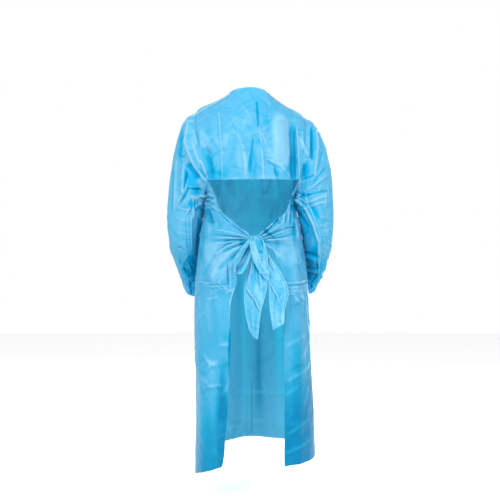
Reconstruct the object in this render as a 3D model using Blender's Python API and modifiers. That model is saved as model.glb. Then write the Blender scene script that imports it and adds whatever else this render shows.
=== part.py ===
"""An over-the-head film gown with an open back, worn-shaped and hollow.

The origin is at the nape, where the wearer's shoulders hold the gown. +X is the
wearer's right, +Y the wearer's front and +Z up. The body is a stack of half rings:
one stack for the back, cut away below the yoke into two flaps, and one for the front.
"""

import math

import bpy
import numpy as np

WALL = 0.0012
SEAM_GAP = 0.0003
YOKE_HEM_LEVEL = 0.316
SHOULDER_LEVEL = 0.100
UNDERARM_LEVEL = 0.385
HIP_LEVEL = 0.665
HEM_LEVEL = 1.265
SEAM_EASE = 0.12
HEM_CORNER_CLEARANCE = 0.0012
SHOULDER_CLEARANCE = 0.0013
UNDERARM_CLEARANCE = 0.0025

# Neighbouring pieces share these levels, so that their edges match along a seam.
SHOULDER_LEVELS = np.linspace(0, SHOULDER_LEVEL, 5)
ARMHOLE_LEVELS = np.linspace(SHOULDER_LEVEL, YOKE_HEM_LEVEL, 9)
UNDERARM_LEVELS = np.linspace(YOKE_HEM_LEVEL, UNDERARM_LEVEL, 4)
SKIRT_LEVELS = np.concatenate(
    [np.linspace(UNDERARM_LEVEL, HIP_LEVEL, 13), np.linspace(HIP_LEVEL, HEM_LEVEL, 13)[1:]]
)
DIP_POWER = 1.5

YOKE_ACROSS = 28
FRONT_ACROSS = 30
FLAP_ACROSS = 16
SLEEVE_ROWS = 20
TIE_ACROSS = 5
TIE_STEPS_PER_ROW = 2
CURVE_STEPS_PER_POINT = 20
FOLD_WRAP = 0.5

KNOT_X = 0.0165
KNOT_Z = -0.5190
KNOT_HALF_SIZE = (0.0160, 0.0125, 0.0165)
KNOT_PINCH = 0.04
KNOT_LOBES = 4

FILM_BLUE = (0.20, 0.60, 0.86, 1.0)
FILM_DEEP_BLUE = (0.02, 0.36, 0.74, 1.0)
FILM_ROUGHNESS = 0.32


def table(columns, *rows):
    """A table of sizes, as one array for each named column."""
    return dict(zip(columns.split(), np.array(rows, float).T))


# A row is one half ring of the back, from the neckline down. The ends lie on the shoulder
# line, then round the back of the armhole, then down the side.
BACK_ROWS = table(
    "level left_x left_z right_x right_z end_y middle_y middle_z sweep",
    (0.000, -0.078, -0.014, 0.075, -0.020, 0.000, -0.062, 0.006, 80),
    (0.050, -0.135, -0.040, 0.134, -0.056, 0.000, -0.096, -0.055, 64),
    (0.100, -0.190, -0.068, 0.190, -0.087, 0.000, -0.120, -0.112, 54),
    (0.160, -0.186, -0.135, 0.189, -0.145, -0.068, -0.133, -0.168, 48),
    (0.230, -0.168, -0.222, 0.180, -0.226, -0.102, -0.137, -0.232, 46),
    (0.316, -0.145, -0.316, 0.165, -0.316, -0.108, -0.133, -0.316, 50),
    (0.385, -0.156, -0.385, 0.155, -0.385, -0.006, -0.146, -0.385, 88),
    (0.450, -0.163, -0.452, 0.168, -0.450, -0.006, -0.160, -0.450, 90),
    (0.515, -0.176, -0.520, 0.182, -0.515, 0.000, -0.171, -0.515, 90),
    (0.600, -0.185, -0.608, 0.195, -0.600, 0.000, -0.181, -0.600, 90),
    (0.690, -0.192, -0.702, 0.203, -0.690, 0.000, -0.189, -0.690, 90),
    (0.765, -0.194, -0.780, 0.208, -0.765, 0.000, -0.193, -0.765, 90),
    (0.940, -0.191, -0.963, 0.214, -0.940, 0.000, -0.197, -0.940, 90),
    (1.100, -0.188, -1.131, 0.222, -1.100, 0.000, -0.199, -1.100, 90),
    (1.265, -0.191, -1.320, 0.226, -1.268, 0.000, -0.201, -1.270, 90),
)

# The same for the front. Its neckline is cut lower, and its ends go round the front of
# the armhole.
FRONT_ROWS = table(
    "level left_x left_z right_x right_z end_y middle_y middle_z sweep",
    (0.000, -0.078, -0.014, 0.075, -0.020, 0.000, 0.078, -0.088, 80),
    (0.050, -0.135, -0.040, 0.134, -0.056, 0.000, 0.108, -0.124, 64),
    (0.100, -0.190, -0.068, 0.190, -0.087, 0.000, 0.126, -0.162, 54),
    (0.160, -0.184, -0.132, 0.184, -0.142, 0.060, 0.140, -0.208, 50),
    (0.230, -0.166, -0.218, 0.168, -0.222, 0.092, 0.150, -0.260, 52),
    (0.316, -0.153, -0.318, 0.154, -0.318, 0.084, 0.158, -0.330, 60),
    (0.385, -0.156, -0.385, 0.155, -0.385, -0.006, 0.165, -0.390, 88),
    (0.450, -0.163, -0.452, 0.168, -0.450, -0.006, 0.171, -0.450, 90),
    (0.515, -0.176, -0.520, 0.182, -0.515, 0.000, 0.177, -0.515, 90),
    (0.600, -0.185, -0.608, 0.195, -0.600, 0.000, 0.184, -0.600, 90),
    (0.690, -0.192, -0.702, 0.203, -0.690, 0.000, 0.190, -0.690, 90),
    (0.765, -0.194, -0.780, 0.208, -0.765, 0.000, 0.194, -0.765, 90),
    (0.940, -0.191, -0.963, 0.214, -0.940, 0.000, 0.202, -0.935, 90),
    (1.100, -0.188, -1.131, 0.222, -1.100, 0.000, 0.209, -1.090, 90),
    (1.265, -0.191, -1.320, 0.226, -1.268, 0.000, 0.216, -1.249, 90),
)

# The free edges of the two back flaps, as x and z seen from behind.
LEFT_FLAP_TOP = table(
    "x z",
    (-0.1440, -0.3172),
    (-0.1270, -0.3420),
    (-0.1120, -0.3760),
    (-0.1060, -0.4080),
    (-0.0880, -0.4320),
    (-0.0560, -0.4560),
    (-0.0240, -0.4860),
    (0.0150, -0.5180),
)
LEFT_FLAP_INNER = table(
    "x z",
    (0.0150, -0.5180),
    (-0.0100, -0.5560),
    (-0.0380, -0.6200),
    (-0.0460, -0.6720),
    (-0.0600, -0.7180),
    (-0.0655, -0.7600),
    (-0.0640, -0.8800),
    (-0.0692, -1.0040),
    (-0.0738, -1.0930),
    (-0.0889, -1.2650),
)
RIGHT_FLAP_TOP = table(
    "x z",
    (0.1640, -0.3172),
    (0.1500, -0.3450),
    (0.1340, -0.3790),
    (0.1240, -0.4130),
    (0.1090, -0.4360),
    (0.0810, -0.4560),
    (0.0480, -0.4850),
    (0.0180, -0.5175),
)
RIGHT_FLAP_INNER = table(
    "x z",
    (0.0180, -0.5175),
    (0.0480, -0.5380),
    (0.0770, -0.5600),
    (0.0940, -0.5940),
    (0.1110, -0.6400),
    (0.1270, -0.7080),
    (0.1185, -0.7670),
    (0.1130, -0.8360),
    (0.1130, -1.0930),
    (0.1130, -1.2650),
)

# A sleeve's sections, each an oval between its outer and its inner point, from the
# armhole to the cuff. The upper arm hangs, and the forearm reaches forward.
SLEEVE_COLUMNS = "outer_x outer_z inner_x inner_z y depth lean"
LEFT_SLEEVE = table(
    SLEEVE_COLUMNS,
    (-0.2225, -0.092, -0.1640, -0.392, -0.004, 0.094, 0),
    (-0.2420, -0.134, -0.1685, -0.402, -0.004, 0.090, 0),
    (-0.2640, -0.200, -0.1715, -0.415, -0.004, 0.083, 0),
    (-0.2780, -0.280, -0.1740, -0.432, -0.002, 0.076, 0),
    (-0.2860, -0.365, -0.1770, -0.452, 0.000, 0.071, 0),
    (-0.2920, -0.445, -0.1810, -0.478, 0.004, 0.066, 5),
    (-0.2860, -0.515, -0.1870, -0.514, 0.022, 0.060, 20),
    (-0.2740, -0.577, -0.1850, -0.577, 0.070, 0.054, 38),
    (-0.2560, -0.640, -0.1700, -0.640, 0.130, 0.048, 42),
    (-0.2400, -0.694, -0.1580, -0.694, 0.180, 0.042, 42),
)
RIGHT_SLEEVE = table(
    SLEEVE_COLUMNS,
    (0.2200, -0.106, 0.1630, -0.392, -0.004, 0.094, 0),
    (0.2430, -0.146, 0.1690, -0.402, -0.004, 0.090, 0),
    (0.2690, -0.204, 0.1735, -0.415, -0.004, 0.083, 0),
    (0.2850, -0.280, 0.1780, -0.432, -0.002, 0.076, 0),
    (0.2905, -0.365, 0.1830, -0.452, 0.000, 0.071, 0),
    (0.2940, -0.450, 0.1880, -0.478, 0.004, 0.066, 5),
    (0.2905, -0.520, 0.1960, -0.516, 0.022, 0.060, 20),
    (0.2830, -0.580, 0.1960, -0.579, 0.068, 0.054, 38),
    (0.2630, -0.640, 0.1820, -0.640, 0.125, 0.048, 42),
    (0.2450, -0.686, 0.1680, -0.686, 0.168, 0.042, 42),
)

# A tie's sections: its middle, with y from the knot's own middle, its width, how far that
# width is turned up and towards the viewer from +X, and the depth of the fold along it.
TIE_COLUMNS = "x y z width turn swing fold"
FRONT_TAIL = table(
    TIE_COLUMNS,
    (0.0180, -0.0133, -0.505, 0.026, 10, 0, 0.000),
    (0.0220, -0.0136, -0.528, 0.046, 14, 0, 0.001),
    (0.0290, -0.0170, -0.558, 0.051, 16, 0, 0.004),
    (0.0370, -0.0190, -0.591, 0.044, 18, 0, 0.004),
    (0.0475, -0.0180, -0.622, 0.029, 20, 0, 0.002),
    (0.0600, -0.0160, -0.653, 0.007, 22, 0, 0.000),
)
LEFT_TAIL = table(
    TIE_COLUMNS,
    (0.0165, 0.0000, -0.536, 0.012, 0, 0, 0.000),
    (0.0185, -0.0010, -0.575, 0.026, 4, 8, 0.004),
    (0.0185, -0.0030, -0.622, 0.054, 6, 10, 0.007),
    (0.0195, -0.0060, -0.668, 0.076, 5, 8, 0.009),
    (0.0150, -0.0080, -0.707, 0.069, 2, 6, 0.008),
    (0.0105, -0.0090, -0.746, 0.055, -2, 4, 0.006),
    (0.0105, -0.0090, -0.783, 0.043, -4, 2, 0.004),
    (0.0135, -0.0090, -0.819, 0.030, -10, 0, 0.003),
    (0.0205, -0.0090, -0.846, 0.010, -30, 0, 0.000),
)
RIGHT_TAIL = table(
    TIE_COLUMNS,
    (0.0280, 0.0000, -0.531, 0.012, 45, 0, 0.000),
    (0.0520, -0.0050, -0.577, 0.024, 24, -6, 0.003),
    (0.0690, -0.0070, -0.611, 0.036, 25, -8, 0.004),
    (0.0820, -0.0090, -0.638, 0.048, 20, -8, 0.004),
    (0.0915, -0.0110, -0.668, 0.058, 8, -6, 0.004),
    (0.0950, -0.0120, -0.697, 0.064, 0, -4, 0.005),
    (0.0920, -0.0120, -0.728, 0.056, 0, -2, 0.005),
    (0.0905, -0.0120, -0.762, 0.046, 8, 0, 0.004),
    (0.0940, -0.0120, -0.806, 0.042, 32, 0, 0.002),
)
BOW_LOOP = table(
    TIE_COLUMNS,
    (0.0010, -0.0060, -0.519, 0.010, -50, 40, 0.000),
    (-0.0180, -0.0120, -0.546, 0.026, -42, 55, 0.000),
    (-0.0370, -0.0150, -0.577, 0.034, -42, 58, 0.000),
    (-0.0510, -0.0160, -0.602, 0.036, -44, 58, 0.000),
    (-0.0520, -0.0160, -0.622, 0.036, -44, 58, 0.000),
    (-0.0370, -0.0150, -0.617, 0.036, -42, 58, 0.000),
    (-0.0190, -0.0120, -0.592, 0.032, -40, 55, 0.000),
    (-0.0060, -0.0050, -0.562, 0.022, -40, 40, 0.000),
    (0.0050, 0.0000, -0.531, 0.010, -45, 10, 0.000),
)
FRONT_TAIL_ENDS = (None, None)
LEFT_TAIL_ENDS = (-90, None)
RIGHT_TAIL_ENDS = (-45, None)
BOW_LOOP_ENDS = (-180, -135)

# The main folds of each piece. A fold is a soft ridge, or a trough where its height is
# below zero, along a straight line from its start to its end as seen from behind.
FOLD_COLUMNS = "from_x from_z to_x to_z width height"
YOKE_FOLDS = table(
    FOLD_COLUMNS,
    (0.140, -0.110, 0.150, -0.318, 0.016, -0.009),
    (0.170, -0.140, 0.164, -0.318, 0.010, 0.005),
    (-0.160, -0.190, -0.138, -0.318, 0.014, -0.009),
    (-0.110, -0.060, -0.098, -0.318, 0.010, -0.004),
    (0.022, -0.060, 0.028, -0.150, 0.008, -0.005),
    (-0.050, -0.160, -0.010, -0.225, 0.009, 0.005),
    (0.012, -0.180, -0.014, -0.300, 0.010, 0.006),
    (0.034, -0.170, 0.040, -0.318, 0.010, 0.005),
    (0.062, -0.245, 0.140, -0.308, 0.008, 0.006),
)
LEFT_FLAP_FOLDS = table(
    FOLD_COLUMNS,
    (-0.170, -0.480, 0.000, -0.516, 0.010, 0.007),
    (-0.130, -0.462, -0.004, -0.506, 0.008, -0.006),
    (-0.120, -0.545, -0.006, -0.522, 0.009, -0.008),
    (-0.100, -0.590, -0.020, -0.545, 0.011, 0.007),
    (-0.118, -0.620, -0.112, -0.900, 0.014, 0.006),
    (-0.160, -0.760, -0.150, -1.300, 0.020, 0.008),
    (-0.105, -0.900, -0.115, -1.280, 0.018, -0.008),
    (-0.180, -0.930, -0.090, -1.010, 0.018, 0.005),
)
RIGHT_FLAP_FOLDS = table(
    FOLD_COLUMNS,
    (0.172, -0.450, 0.030, -0.515, 0.009, 0.007),
    (0.150, -0.478, 0.035, -0.522, 0.007, -0.006),
    (0.165, -0.505, 0.045, -0.530, 0.009, 0.007),
    (0.175, -0.545, 0.060, -0.540, 0.010, -0.006),
    (0.150, -0.590, 0.160, -1.260, 0.018, 0.008),
    (0.190, -0.560, 0.200, -1.000, 0.016, -0.006),
    (0.135, -0.860, 0.140, -1.260, 0.014, -0.006),
)
FRONT_FOLDS = table(
    FOLD_COLUMNS,
    (-0.008, -0.160, -0.004, -1.250, 0.008, 0.004),
    (-0.120, -0.180, -0.070, -0.420, 0.018, 0.007),
    (0.118, -0.190, 0.076, -0.430, 0.018, 0.007),
    (-0.150, -0.480, -0.030, -0.545, 0.012, 0.006),
    (0.160, -0.480, 0.040, -0.550, 0.012, 0.006),
    (-0.100, -0.560, -0.120, -1.280, 0.022, 0.009),
    (-0.052, -0.640, -0.060, -1.260, 0.018, -0.008),
    (0.060, -0.620, 0.066, -1.260, 0.020, -0.008),
    (0.112, -0.560, 0.135, -1.270, 0.022, 0.009),
)
LEFT_SLEEVE_FOLDS = table(
    FOLD_COLUMNS,
    (-0.230, -0.170, -0.185, -0.270, 0.012, 0.006),
    (-0.185, -0.270, -0.165, -0.340, 0.012, 0.006),
    (-0.262, -0.215, -0.262, -0.440, 0.016, -0.005),
    (-0.215, -0.330, -0.210, -0.500, 0.013, 0.006),
    (-0.290, -0.500, -0.200, -0.470, 0.010, -0.007),
    (-0.285, -0.540, -0.195, -0.535, 0.010, 0.005),
    (-0.262, -0.610, -0.190, -0.600, 0.010, -0.005),
)
RIGHT_SLEEVE_FOLDS = table(
    FOLD_COLUMNS,
    (0.188, -0.160, 0.215, -0.225, 0.012, 0.006),
    (0.232, -0.120, 0.226, -0.235, 0.010, -0.006),
    (0.244, -0.140, 0.238, -0.290, 0.012, 0.006),
    (0.200, -0.345, 0.240, -0.410, 0.011, 0.006),
    (0.240, -0.410, 0.248, -0.560, 0.011, 0.007),
    (0.212, -0.330, 0.285, -0.270, 0.012, 0.005),
    (0.190, -0.500, 0.285, -0.490, 0.010, -0.006),
    (0.200, -0.620, 0.265, -0.605, 0.010, -0.005),
)


def smooth_at(levels, values, at, overshoot=False):
    """A cubic curve through a column of values, read at the given levels.

    It stays between neighbouring values unless it may overshoot, as a loop's curve does."""
    if overshoot:
        slopes = np.gradient(values, levels)
    else:
        rise = np.diff(values) / np.diff(levels)
        slopes = np.concatenate([rise[:1], np.zeros(len(values) - 2), rise[-1:]])
        same_way = rise[:-1] * rise[1:] > 0
        before, after = rise[:-1][same_way], rise[1:][same_way]
        slopes[1:-1][same_way] = 2 * before * after / (before + after)
    row = np.clip(np.searchsorted(levels, at, side="right") - 1, 0, len(levels) - 2)
    step = levels[row + 1] - levels[row]
    s = (at - levels[row]) / step
    return (
        (2 * s**3 - 3 * s**2 + 1) * values[row]
        + (s**3 - 2 * s**2 + s) * step * slopes[row]
        + (3 * s**2 - 2 * s**3) * values[row + 1]
        + (s**3 - s**2) * step * slopes[row + 1]
    )


def spread_along(points, shares):
    """The smooth curve through the given points, read at shares of its length."""
    points = np.array(points, float)
    knots = np.arange(len(points), dtype=float)
    fine = np.linspace(0, len(points) - 1, CURVE_STEPS_PER_POINT * len(points))
    curve = np.stack([smooth_at(knots, axis, fine, True) for axis in points.T], axis=1)
    lengths = np.concatenate([[0], np.cumsum(np.linalg.norm(np.diff(curve, axis=0), axis=1))])
    wanted = shares * lengths[-1]
    return np.stack([np.interp(wanted, lengths, axis) for axis in curve.T], axis=1)


def ring_points(rows, level, across):
    """Points inside the body's wall: level goes down it, and across from -1 to 1 round it."""
    at = {name: smooth_at(rows["level"], rows[name], level) for name in rows}
    right = across > 0
    end_x = np.where(right, at["right_x"], at["left_x"])
    end_z = np.where(right, at["right_z"], at["left_z"])
    sweep = np.radians(at["sweep"])
    turn = np.abs(across) * sweep
    x = end_x * np.sin(turn) / np.sin(sweep)
    rise = (1 - np.cos(turn)) / (1 - np.cos(sweep))
    y = at["middle_y"] + (at["end_y"] - at["middle_y"]) * rise
    y = y + np.sign(at["middle_y"]) * SEAM_GAP / 2
    z = at["middle_z"] + (end_z - at["middle_z"]) * np.abs(across) ** DIP_POWER
    return np.stack([x, y, z], axis=-1)


def across_of(rows, x, z):
    """How far round the body a point of its surface lies, from its x and z."""
    at = {name: smooth_at(rows["level"], rows[name], -z) for name in rows}
    sweep = np.radians(at["sweep"])
    share = np.abs(x) / np.where(x > 0, at["right_x"], -at["left_x"])
    return np.sign(x) * np.arcsin(np.clip(share * np.sin(sweep), 0, 1)) / sweep


def between_edges(top, inner, side, hem):
    """A grid between four edges: top and hem run across it, side and inner down it."""
    u = np.linspace(0, 1, len(top))[None, :, None]
    v = np.linspace(0, 1, len(side))[:, None, None]
    corners = (
        (1 - u) * (1 - v) * top[0]
        + u * (1 - v) * top[-1]
        + (1 - u) * v * hem[0]
        + u * v * hem[-1]
    )
    down = (1 - v) * top[None] + v * hem[None]
    over = (1 - u) * side[:, None] + u * inner[:, None]
    return down + over - corners


def grid_normals(grid, around):
    """Unit normals of a grid of points. An around grid closes on itself across."""
    if around:
        over = np.roll(grid, -1, axis=1) - np.roll(grid, 1, axis=1)
    else:
        over = np.gradient(grid, axis=1)
    normals = np.cross(np.gradient(grid, axis=0), over)
    return normals / np.linalg.norm(normals, axis=2, keepdims=True)


def fold_heights(x, z, folds):
    """How far the folds lift or sink the cloth at each place, as seen from behind."""
    lift = np.zeros_like(x)
    for row in range(len(folds["width"])):
        fold = {name: column[row] for name, column in folds.items()}
        run_x = fold["to_x"] - fold["from_x"]
        run_z = fold["to_z"] - fold["from_z"]
        length = math.hypot(run_x, run_z)
        along = ((x - fold["from_x"]) * run_x + (z - fold["from_z"]) * run_z) / length
        aside = ((x - fold["from_x"]) * run_z - (z - fold["from_z"]) * run_x) / length
        past_end = np.maximum(0, np.maximum(-along, along - length))
        distance = np.hypot(aside, past_end) / fold["width"]
        lift += fold["height"] * np.exp(-(distance**2))
    return lift


def folded(grid, folds, outward_y, held=1.0, around=False):
    """The grid with its folds on one face of the gown, each point moved along its normal.

    The cloth keeps its place where held is 0, which is along its seams."""
    normals = grid_normals(grid, around)
    share = np.clip(FOLD_WRAP + normals[..., 1] * outward_y, 0, 1) * held
    lift = fold_heights(grid[..., 0], grid[..., 2], folds) * share
    return grid + normals * lift[..., None]


def held_at_seams(*distances):
    """0 on a seam and 1 past the strip beside it, for distances as shares of the piece."""
    held = 1.0
    for distance in distances:
        ease = np.clip(distance / SEAM_EASE, 0, 1)
        held = held * ease * ease * (3 - 2 * ease)
    return held


def film_material(name, colour):
    material = bpy.data.materials.new(name)
    material.use_nodes = True
    shader = material.node_tree.nodes["Principled BSDF"]
    shader.inputs["Base Color"].default_value = colour
    shader.inputs["Roughness"].default_value = FILM_ROUGHNESS
    shader.inputs["Metallic"].default_value = 0.0
    return material


def add_sheet(name, grid, colour, around=False, wall_offset=1):
    """A named piece of film: the open grid of points, given its wall by Solidify.

    A worn piece's wall lies outside its points, so that neighbours meet edge to edge."""
    down, over = grid.shape[:2]
    spans = over if around else over - 1
    faces = [
        (
            row * over + place,
            (row + 1) * over + place,
            (row + 1) * over + (place + 1) % over,
            row * over + (place + 1) % over,
        )
        for row in range(down - 1)
        for place in range(spans)
    ]
    mesh = bpy.data.meshes.new(name)
    mesh.from_pydata(grid.reshape(-1, 3).tolist(), [], faces)
    mesh.shade_smooth()
    mesh.materials.append(film_material(name + "_film", colour))
    piece = bpy.data.objects.new(name, mesh)
    gown.objects.link(piece)
    wall = piece.modifiers.new("film wall", "SOLIDIFY")
    wall.thickness = WALL
    wall.offset = wall_offset
    return piece


def yoke_grid():
    levels = np.concatenate([SHOULDER_LEVELS[:-1], ARMHOLE_LEVELS])
    level, across = np.meshgrid(levels, np.linspace(-1, 1, YOKE_ACROSS), indexing="ij")
    held = held_at_seams(1 - np.abs(across), level / YOKE_HEM_LEVEL)
    return folded(ring_points(BACK_ROWS, level, across), YOKE_FOLDS, -1, held)


def front_grid():
    levels = np.concatenate(
        [SHOULDER_LEVELS[:-1], ARMHOLE_LEVELS[:-1], UNDERARM_LEVELS[:-1], SKIRT_LEVELS]
    )
    level, across = np.meshgrid(levels, np.linspace(1, -1, FRONT_ACROSS), indexing="ij")
    held = held_at_seams(1 - np.abs(across), level / YOKE_HEM_LEVEL)
    return folded(ring_points(FRONT_ROWS, level, across), FRONT_FOLDS, 1, held)


def flap_grid(top, inner, folds):
    """One back flap: its outer edge is the side, and its top runs from there to the knot."""
    side = np.sign(top["x"][0])
    side_levels = np.concatenate([UNDERARM_LEVELS[:-1], SKIRT_LEVELS])
    side_levels[0] += HEM_CORNER_CLEARANCE
    down = len(side_levels)
    edges = {}
    down_shares = (side_levels - side_levels[0]) / (side_levels[-1] - side_levels[0])
    across_shares = np.linspace(0, 1, FLAP_ACROSS)
    for name, edge, shares in (("top", top, across_shares), ("inner", inner, down_shares)):
        across = across_of(BACK_ROWS, edge["x"], edge["z"])
        edges[name] = spread_along(np.stack([across, -edge["z"]], axis=1), shares)
    edges["top"][0] = (side, side_levels[0])
    side_edge = np.stack([np.full(down, side), side_levels], axis=1)
    hem_across = np.linspace(side, edges["inner"][-1][0], FLAP_ACROSS)
    hem = np.stack([hem_across, np.full(FLAP_ACROSS, HEM_LEVEL)], axis=1)
    chart = between_edges(edges["top"], edges["inner"], side_edge, hem)
    grid = ring_points(BACK_ROWS, chart[..., 1], chart[..., 0])
    held = held_at_seams(1 - np.abs(chart[..., 0]))
    if side > 0:
        grid = grid[:, ::-1]
        held = held[:, ::-1]
    return folded(grid, folds, -1, held)


def armhole_loop(side):
    """The seam line of one armhole, from the shoulder down the back and up the front."""
    levels = np.concatenate([ARMHOLE_LEVELS, UNDERARM_LEVELS[1:]])
    back = ring_points(BACK_ROWS, levels, np.full(len(levels), side))
    front = ring_points(FRONT_ROWS, levels, np.full(len(levels), side))
    return np.concatenate([back[:-1], front[:0:-1]])


def sleeve_grid(sections, folds):
    """One sleeve: ovals lofted out of the armhole and down to the open cuff."""
    side = np.sign(sections["outer_x"][0])
    loop = armhole_loop(side)
    around = len(loop)
    angle = np.linspace(0, 2 * math.pi, around, endpoint=False)
    lowness = (1 - np.cos(angle)) / 2
    clear = SHOULDER_CLEARANCE + (UNDERARM_CLEARANCE - SHOULDER_CLEARANCE) * lowness
    rings = [loop + np.outer(clear, (side, 0, 0))]
    for row in range(len(sections["depth"])):
        at = {name: column[row] for name, column in sections.items()}
        outer = np.array((at["outer_x"], at["y"], at["outer_z"]))
        inner = np.array((at["inner_x"], at["y"], at["inner_z"]))
        lean = math.radians(at["lean"])
        forward = at["depth"] * np.array((0, math.cos(lean), math.sin(lean)))
        middle = (outer + inner) / 2
        ring = middle + np.outer(np.cos(angle), (outer - inner) / 2)
        rings.append(ring - np.outer(np.sin(angle), forward))
    rings = np.array(rings)
    knots = np.arange(len(rings), dtype=float)
    wanted = np.linspace(0, len(rings) - 1, SLEEVE_ROWS)
    flat = rings.reshape(len(rings), -1)
    lofted = np.stack([smooth_at(knots, column, wanted, True) for column in flat.T], axis=1)
    grid = lofted.reshape(SLEEVE_ROWS, around, 3)
    if side > 0:
        grid = grid[:, ::-1]
    held = held_at_seams(np.linspace(0, 1, SLEEVE_ROWS)[:, None])
    return folded(grid, folds, -1, held, around=True)


def knot_rim(angle, clear):
    """The x and z of a place beside the knot, at an angle in degrees seen from behind."""
    turn = math.radians(angle)
    x = KNOT_X + math.cos(turn) * (KNOT_HALF_SIZE[0] + clear)
    return x, KNOT_Z + math.sin(turn) * (KNOT_HALF_SIZE[2] + clear)


def tie_grid(sections, ends, knot_y):
    """A tie: a strip of film that is as wide, turned and folded as each section says.

    An end that is given as an angle is seated on the knot there."""
    sections = {name: column.copy() for name, column in sections.items()}
    for row, angle in zip((0, -1), ends):
        if angle is not None:
            sections["x"][row], sections["z"][row] = knot_rim(angle, SEAM_GAP)
    count = len(sections["width"])
    knots = np.arange(count, dtype=float)
    wanted = np.linspace(0, count - 1, TIE_STEPS_PER_ROW * (count - 1) + 1)
    at = {name: smooth_at(knots, column, wanted, True) for name, column in sections.items()}
    turn = np.radians(at["turn"])
    swing = np.radians(at["swing"])
    middle = np.stack([at["x"], at["y"] + knot_y, at["z"]], axis=1)
    sideways = np.stack(
        [np.cos(turn) * np.cos(swing), -np.sin(swing), np.sin(turn) * np.cos(swing)], axis=1
    )
    place = np.linspace(-0.5, 0.5, TIE_ACROSS)
    grid = middle[:, None] + place[None, :, None] * (at["width"][:, None] * sideways)[:, None]
    grid[..., 1] -= at["fold"][:, None] * (1 - (2 * place) ** 2)[None, :]
    return grid


def add_knot(knot_y):
    """The flat knot that joins the two ties, as a slightly squared ball of gathered film."""
    bpy.ops.mesh.primitive_uv_sphere_add(segments=20, ring_count=10, radius=1)
    knot = bpy.context.active_object
    knot.name = "tie_knot"
    centre = (KNOT_X, knot_y, KNOT_Z)
    for vertex in knot.data.vertices:
        round_it = math.atan2(vertex.co.z, vertex.co.x)
        pinch = 1 - KNOT_PINCH * abs(math.sin(KNOT_LOBES * round_it))
        for axis in range(3):
            reach = vertex.co[axis] * KNOT_HALF_SIZE[axis] * pinch
            vertex.co[axis] = centre[axis] + reach
    knot.data.shade_smooth()
    knot.data.materials.append(film_material("tie_knot_film", FILM_BLUE))
    for collection in list(knot.users_collection):
        collection.objects.unlink(knot)
    gown.objects.link(knot)


for leftover in list(bpy.data.objects):
    bpy.data.objects.remove(leftover, do_unlink=True)
gown = bpy.data.collections.new("open_back_gown")
bpy.context.scene.collection.children.link(gown)

add_sheet("front_panel", front_grid(), FILM_BLUE)
add_sheet("back_yoke", yoke_grid(), FILM_BLUE)
left_flap = flap_grid(LEFT_FLAP_TOP, LEFT_FLAP_INNER, LEFT_FLAP_FOLDS)
right_flap = flap_grid(RIGHT_FLAP_TOP, RIGHT_FLAP_INNER, RIGHT_FLAP_FOLDS)
add_sheet("back_flap_left", left_flap, FILM_BLUE)
add_sheet("back_flap_right", right_flap, FILM_BLUE)
add_sheet("sleeve_left", sleeve_grid(LEFT_SLEEVE, LEFT_SLEEVE_FOLDS), FILM_BLUE, around=True)
add_sheet("sleeve_right", sleeve_grid(RIGHT_SLEEVE, RIGHT_SLEEVE_FOLDS), FILM_BLUE, around=True)

flap_tips_y = min(left_flap[0, -1, 1], right_flap[0, 0, 1])
knot_middle_y = flap_tips_y - WALL - SEAM_GAP - KNOT_HALF_SIZE[1]
add_knot(knot_middle_y)
for tie_name, tie_sections, tie_ends, tie_colour in (
    ("tie_bow_loop", BOW_LOOP, BOW_LOOP_ENDS, FILM_DEEP_BLUE),
    ("tie_front_tail", FRONT_TAIL, FRONT_TAIL_ENDS, FILM_BLUE),
    ("tie_left_tail", LEFT_TAIL, LEFT_TAIL_ENDS, FILM_BLUE),
    ("tie_right_tail", RIGHT_TAIL, RIGHT_TAIL_ENDS, FILM_BLUE),
):
    tie = tie_grid(tie_sections, tie_ends, knot_middle_y)
    add_sheet(tie_name, tie, tie_colour, wall_offset=0)
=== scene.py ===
"""An over-the-head gown of thin blue film, worn open at the back and tied in a half bow.

It is put together piece by piece, each on the part's own form: front, yoke, flaps, sleeves,
pressed seals, ties and knot. Creases, patches of painted shade and light, hems, seals and ties
are in millimetres, and all other lengths are in metres.
"""

import math

import bmesh
import bpy
import numpy as np
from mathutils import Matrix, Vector, kdtree
from mathutils.bvhtree import BVHTree


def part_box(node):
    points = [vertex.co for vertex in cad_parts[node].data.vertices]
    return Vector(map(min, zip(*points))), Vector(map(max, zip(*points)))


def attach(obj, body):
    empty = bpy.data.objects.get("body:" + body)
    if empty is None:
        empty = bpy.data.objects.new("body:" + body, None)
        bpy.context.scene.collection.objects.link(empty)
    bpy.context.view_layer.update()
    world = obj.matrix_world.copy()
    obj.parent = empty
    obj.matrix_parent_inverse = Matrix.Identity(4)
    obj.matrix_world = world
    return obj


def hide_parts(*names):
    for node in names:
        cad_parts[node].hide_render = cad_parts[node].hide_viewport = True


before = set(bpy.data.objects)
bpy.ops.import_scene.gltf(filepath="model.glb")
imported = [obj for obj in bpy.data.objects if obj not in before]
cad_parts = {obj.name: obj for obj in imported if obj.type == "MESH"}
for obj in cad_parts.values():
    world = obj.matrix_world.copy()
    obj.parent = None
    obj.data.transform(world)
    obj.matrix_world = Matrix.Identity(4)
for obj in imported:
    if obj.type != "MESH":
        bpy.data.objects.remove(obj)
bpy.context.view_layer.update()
bpy.ops.object.select_all(action="DESELECT")

# The camera stands 3.2 m behind the gown, level with the tied bow and square to the back.
CAMERA_PLACE = (0.0, -3.2, -0.553)
CAMERA_LENS = 65.8
camera_view = bpy.data.cameras.new("camera")
camera_view.lens = CAMERA_LENS
camera = bpy.data.objects.new("camera", camera_view)
camera.location = CAMERA_PLACE
camera.rotation_euler = (math.radians(90), 0, 0)
bpy.context.scene.collection.objects.link(camera)
bpy.context.scene.camera = camera

# Front panel. One width of polyethylene film from the front neckline to the hem, cut on
# the fold and packed flat, so that it keeps a centre crease and square packing folds.
# It is heat-sealed to the yoke at the shoulders and to the flaps down the sides.


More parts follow.
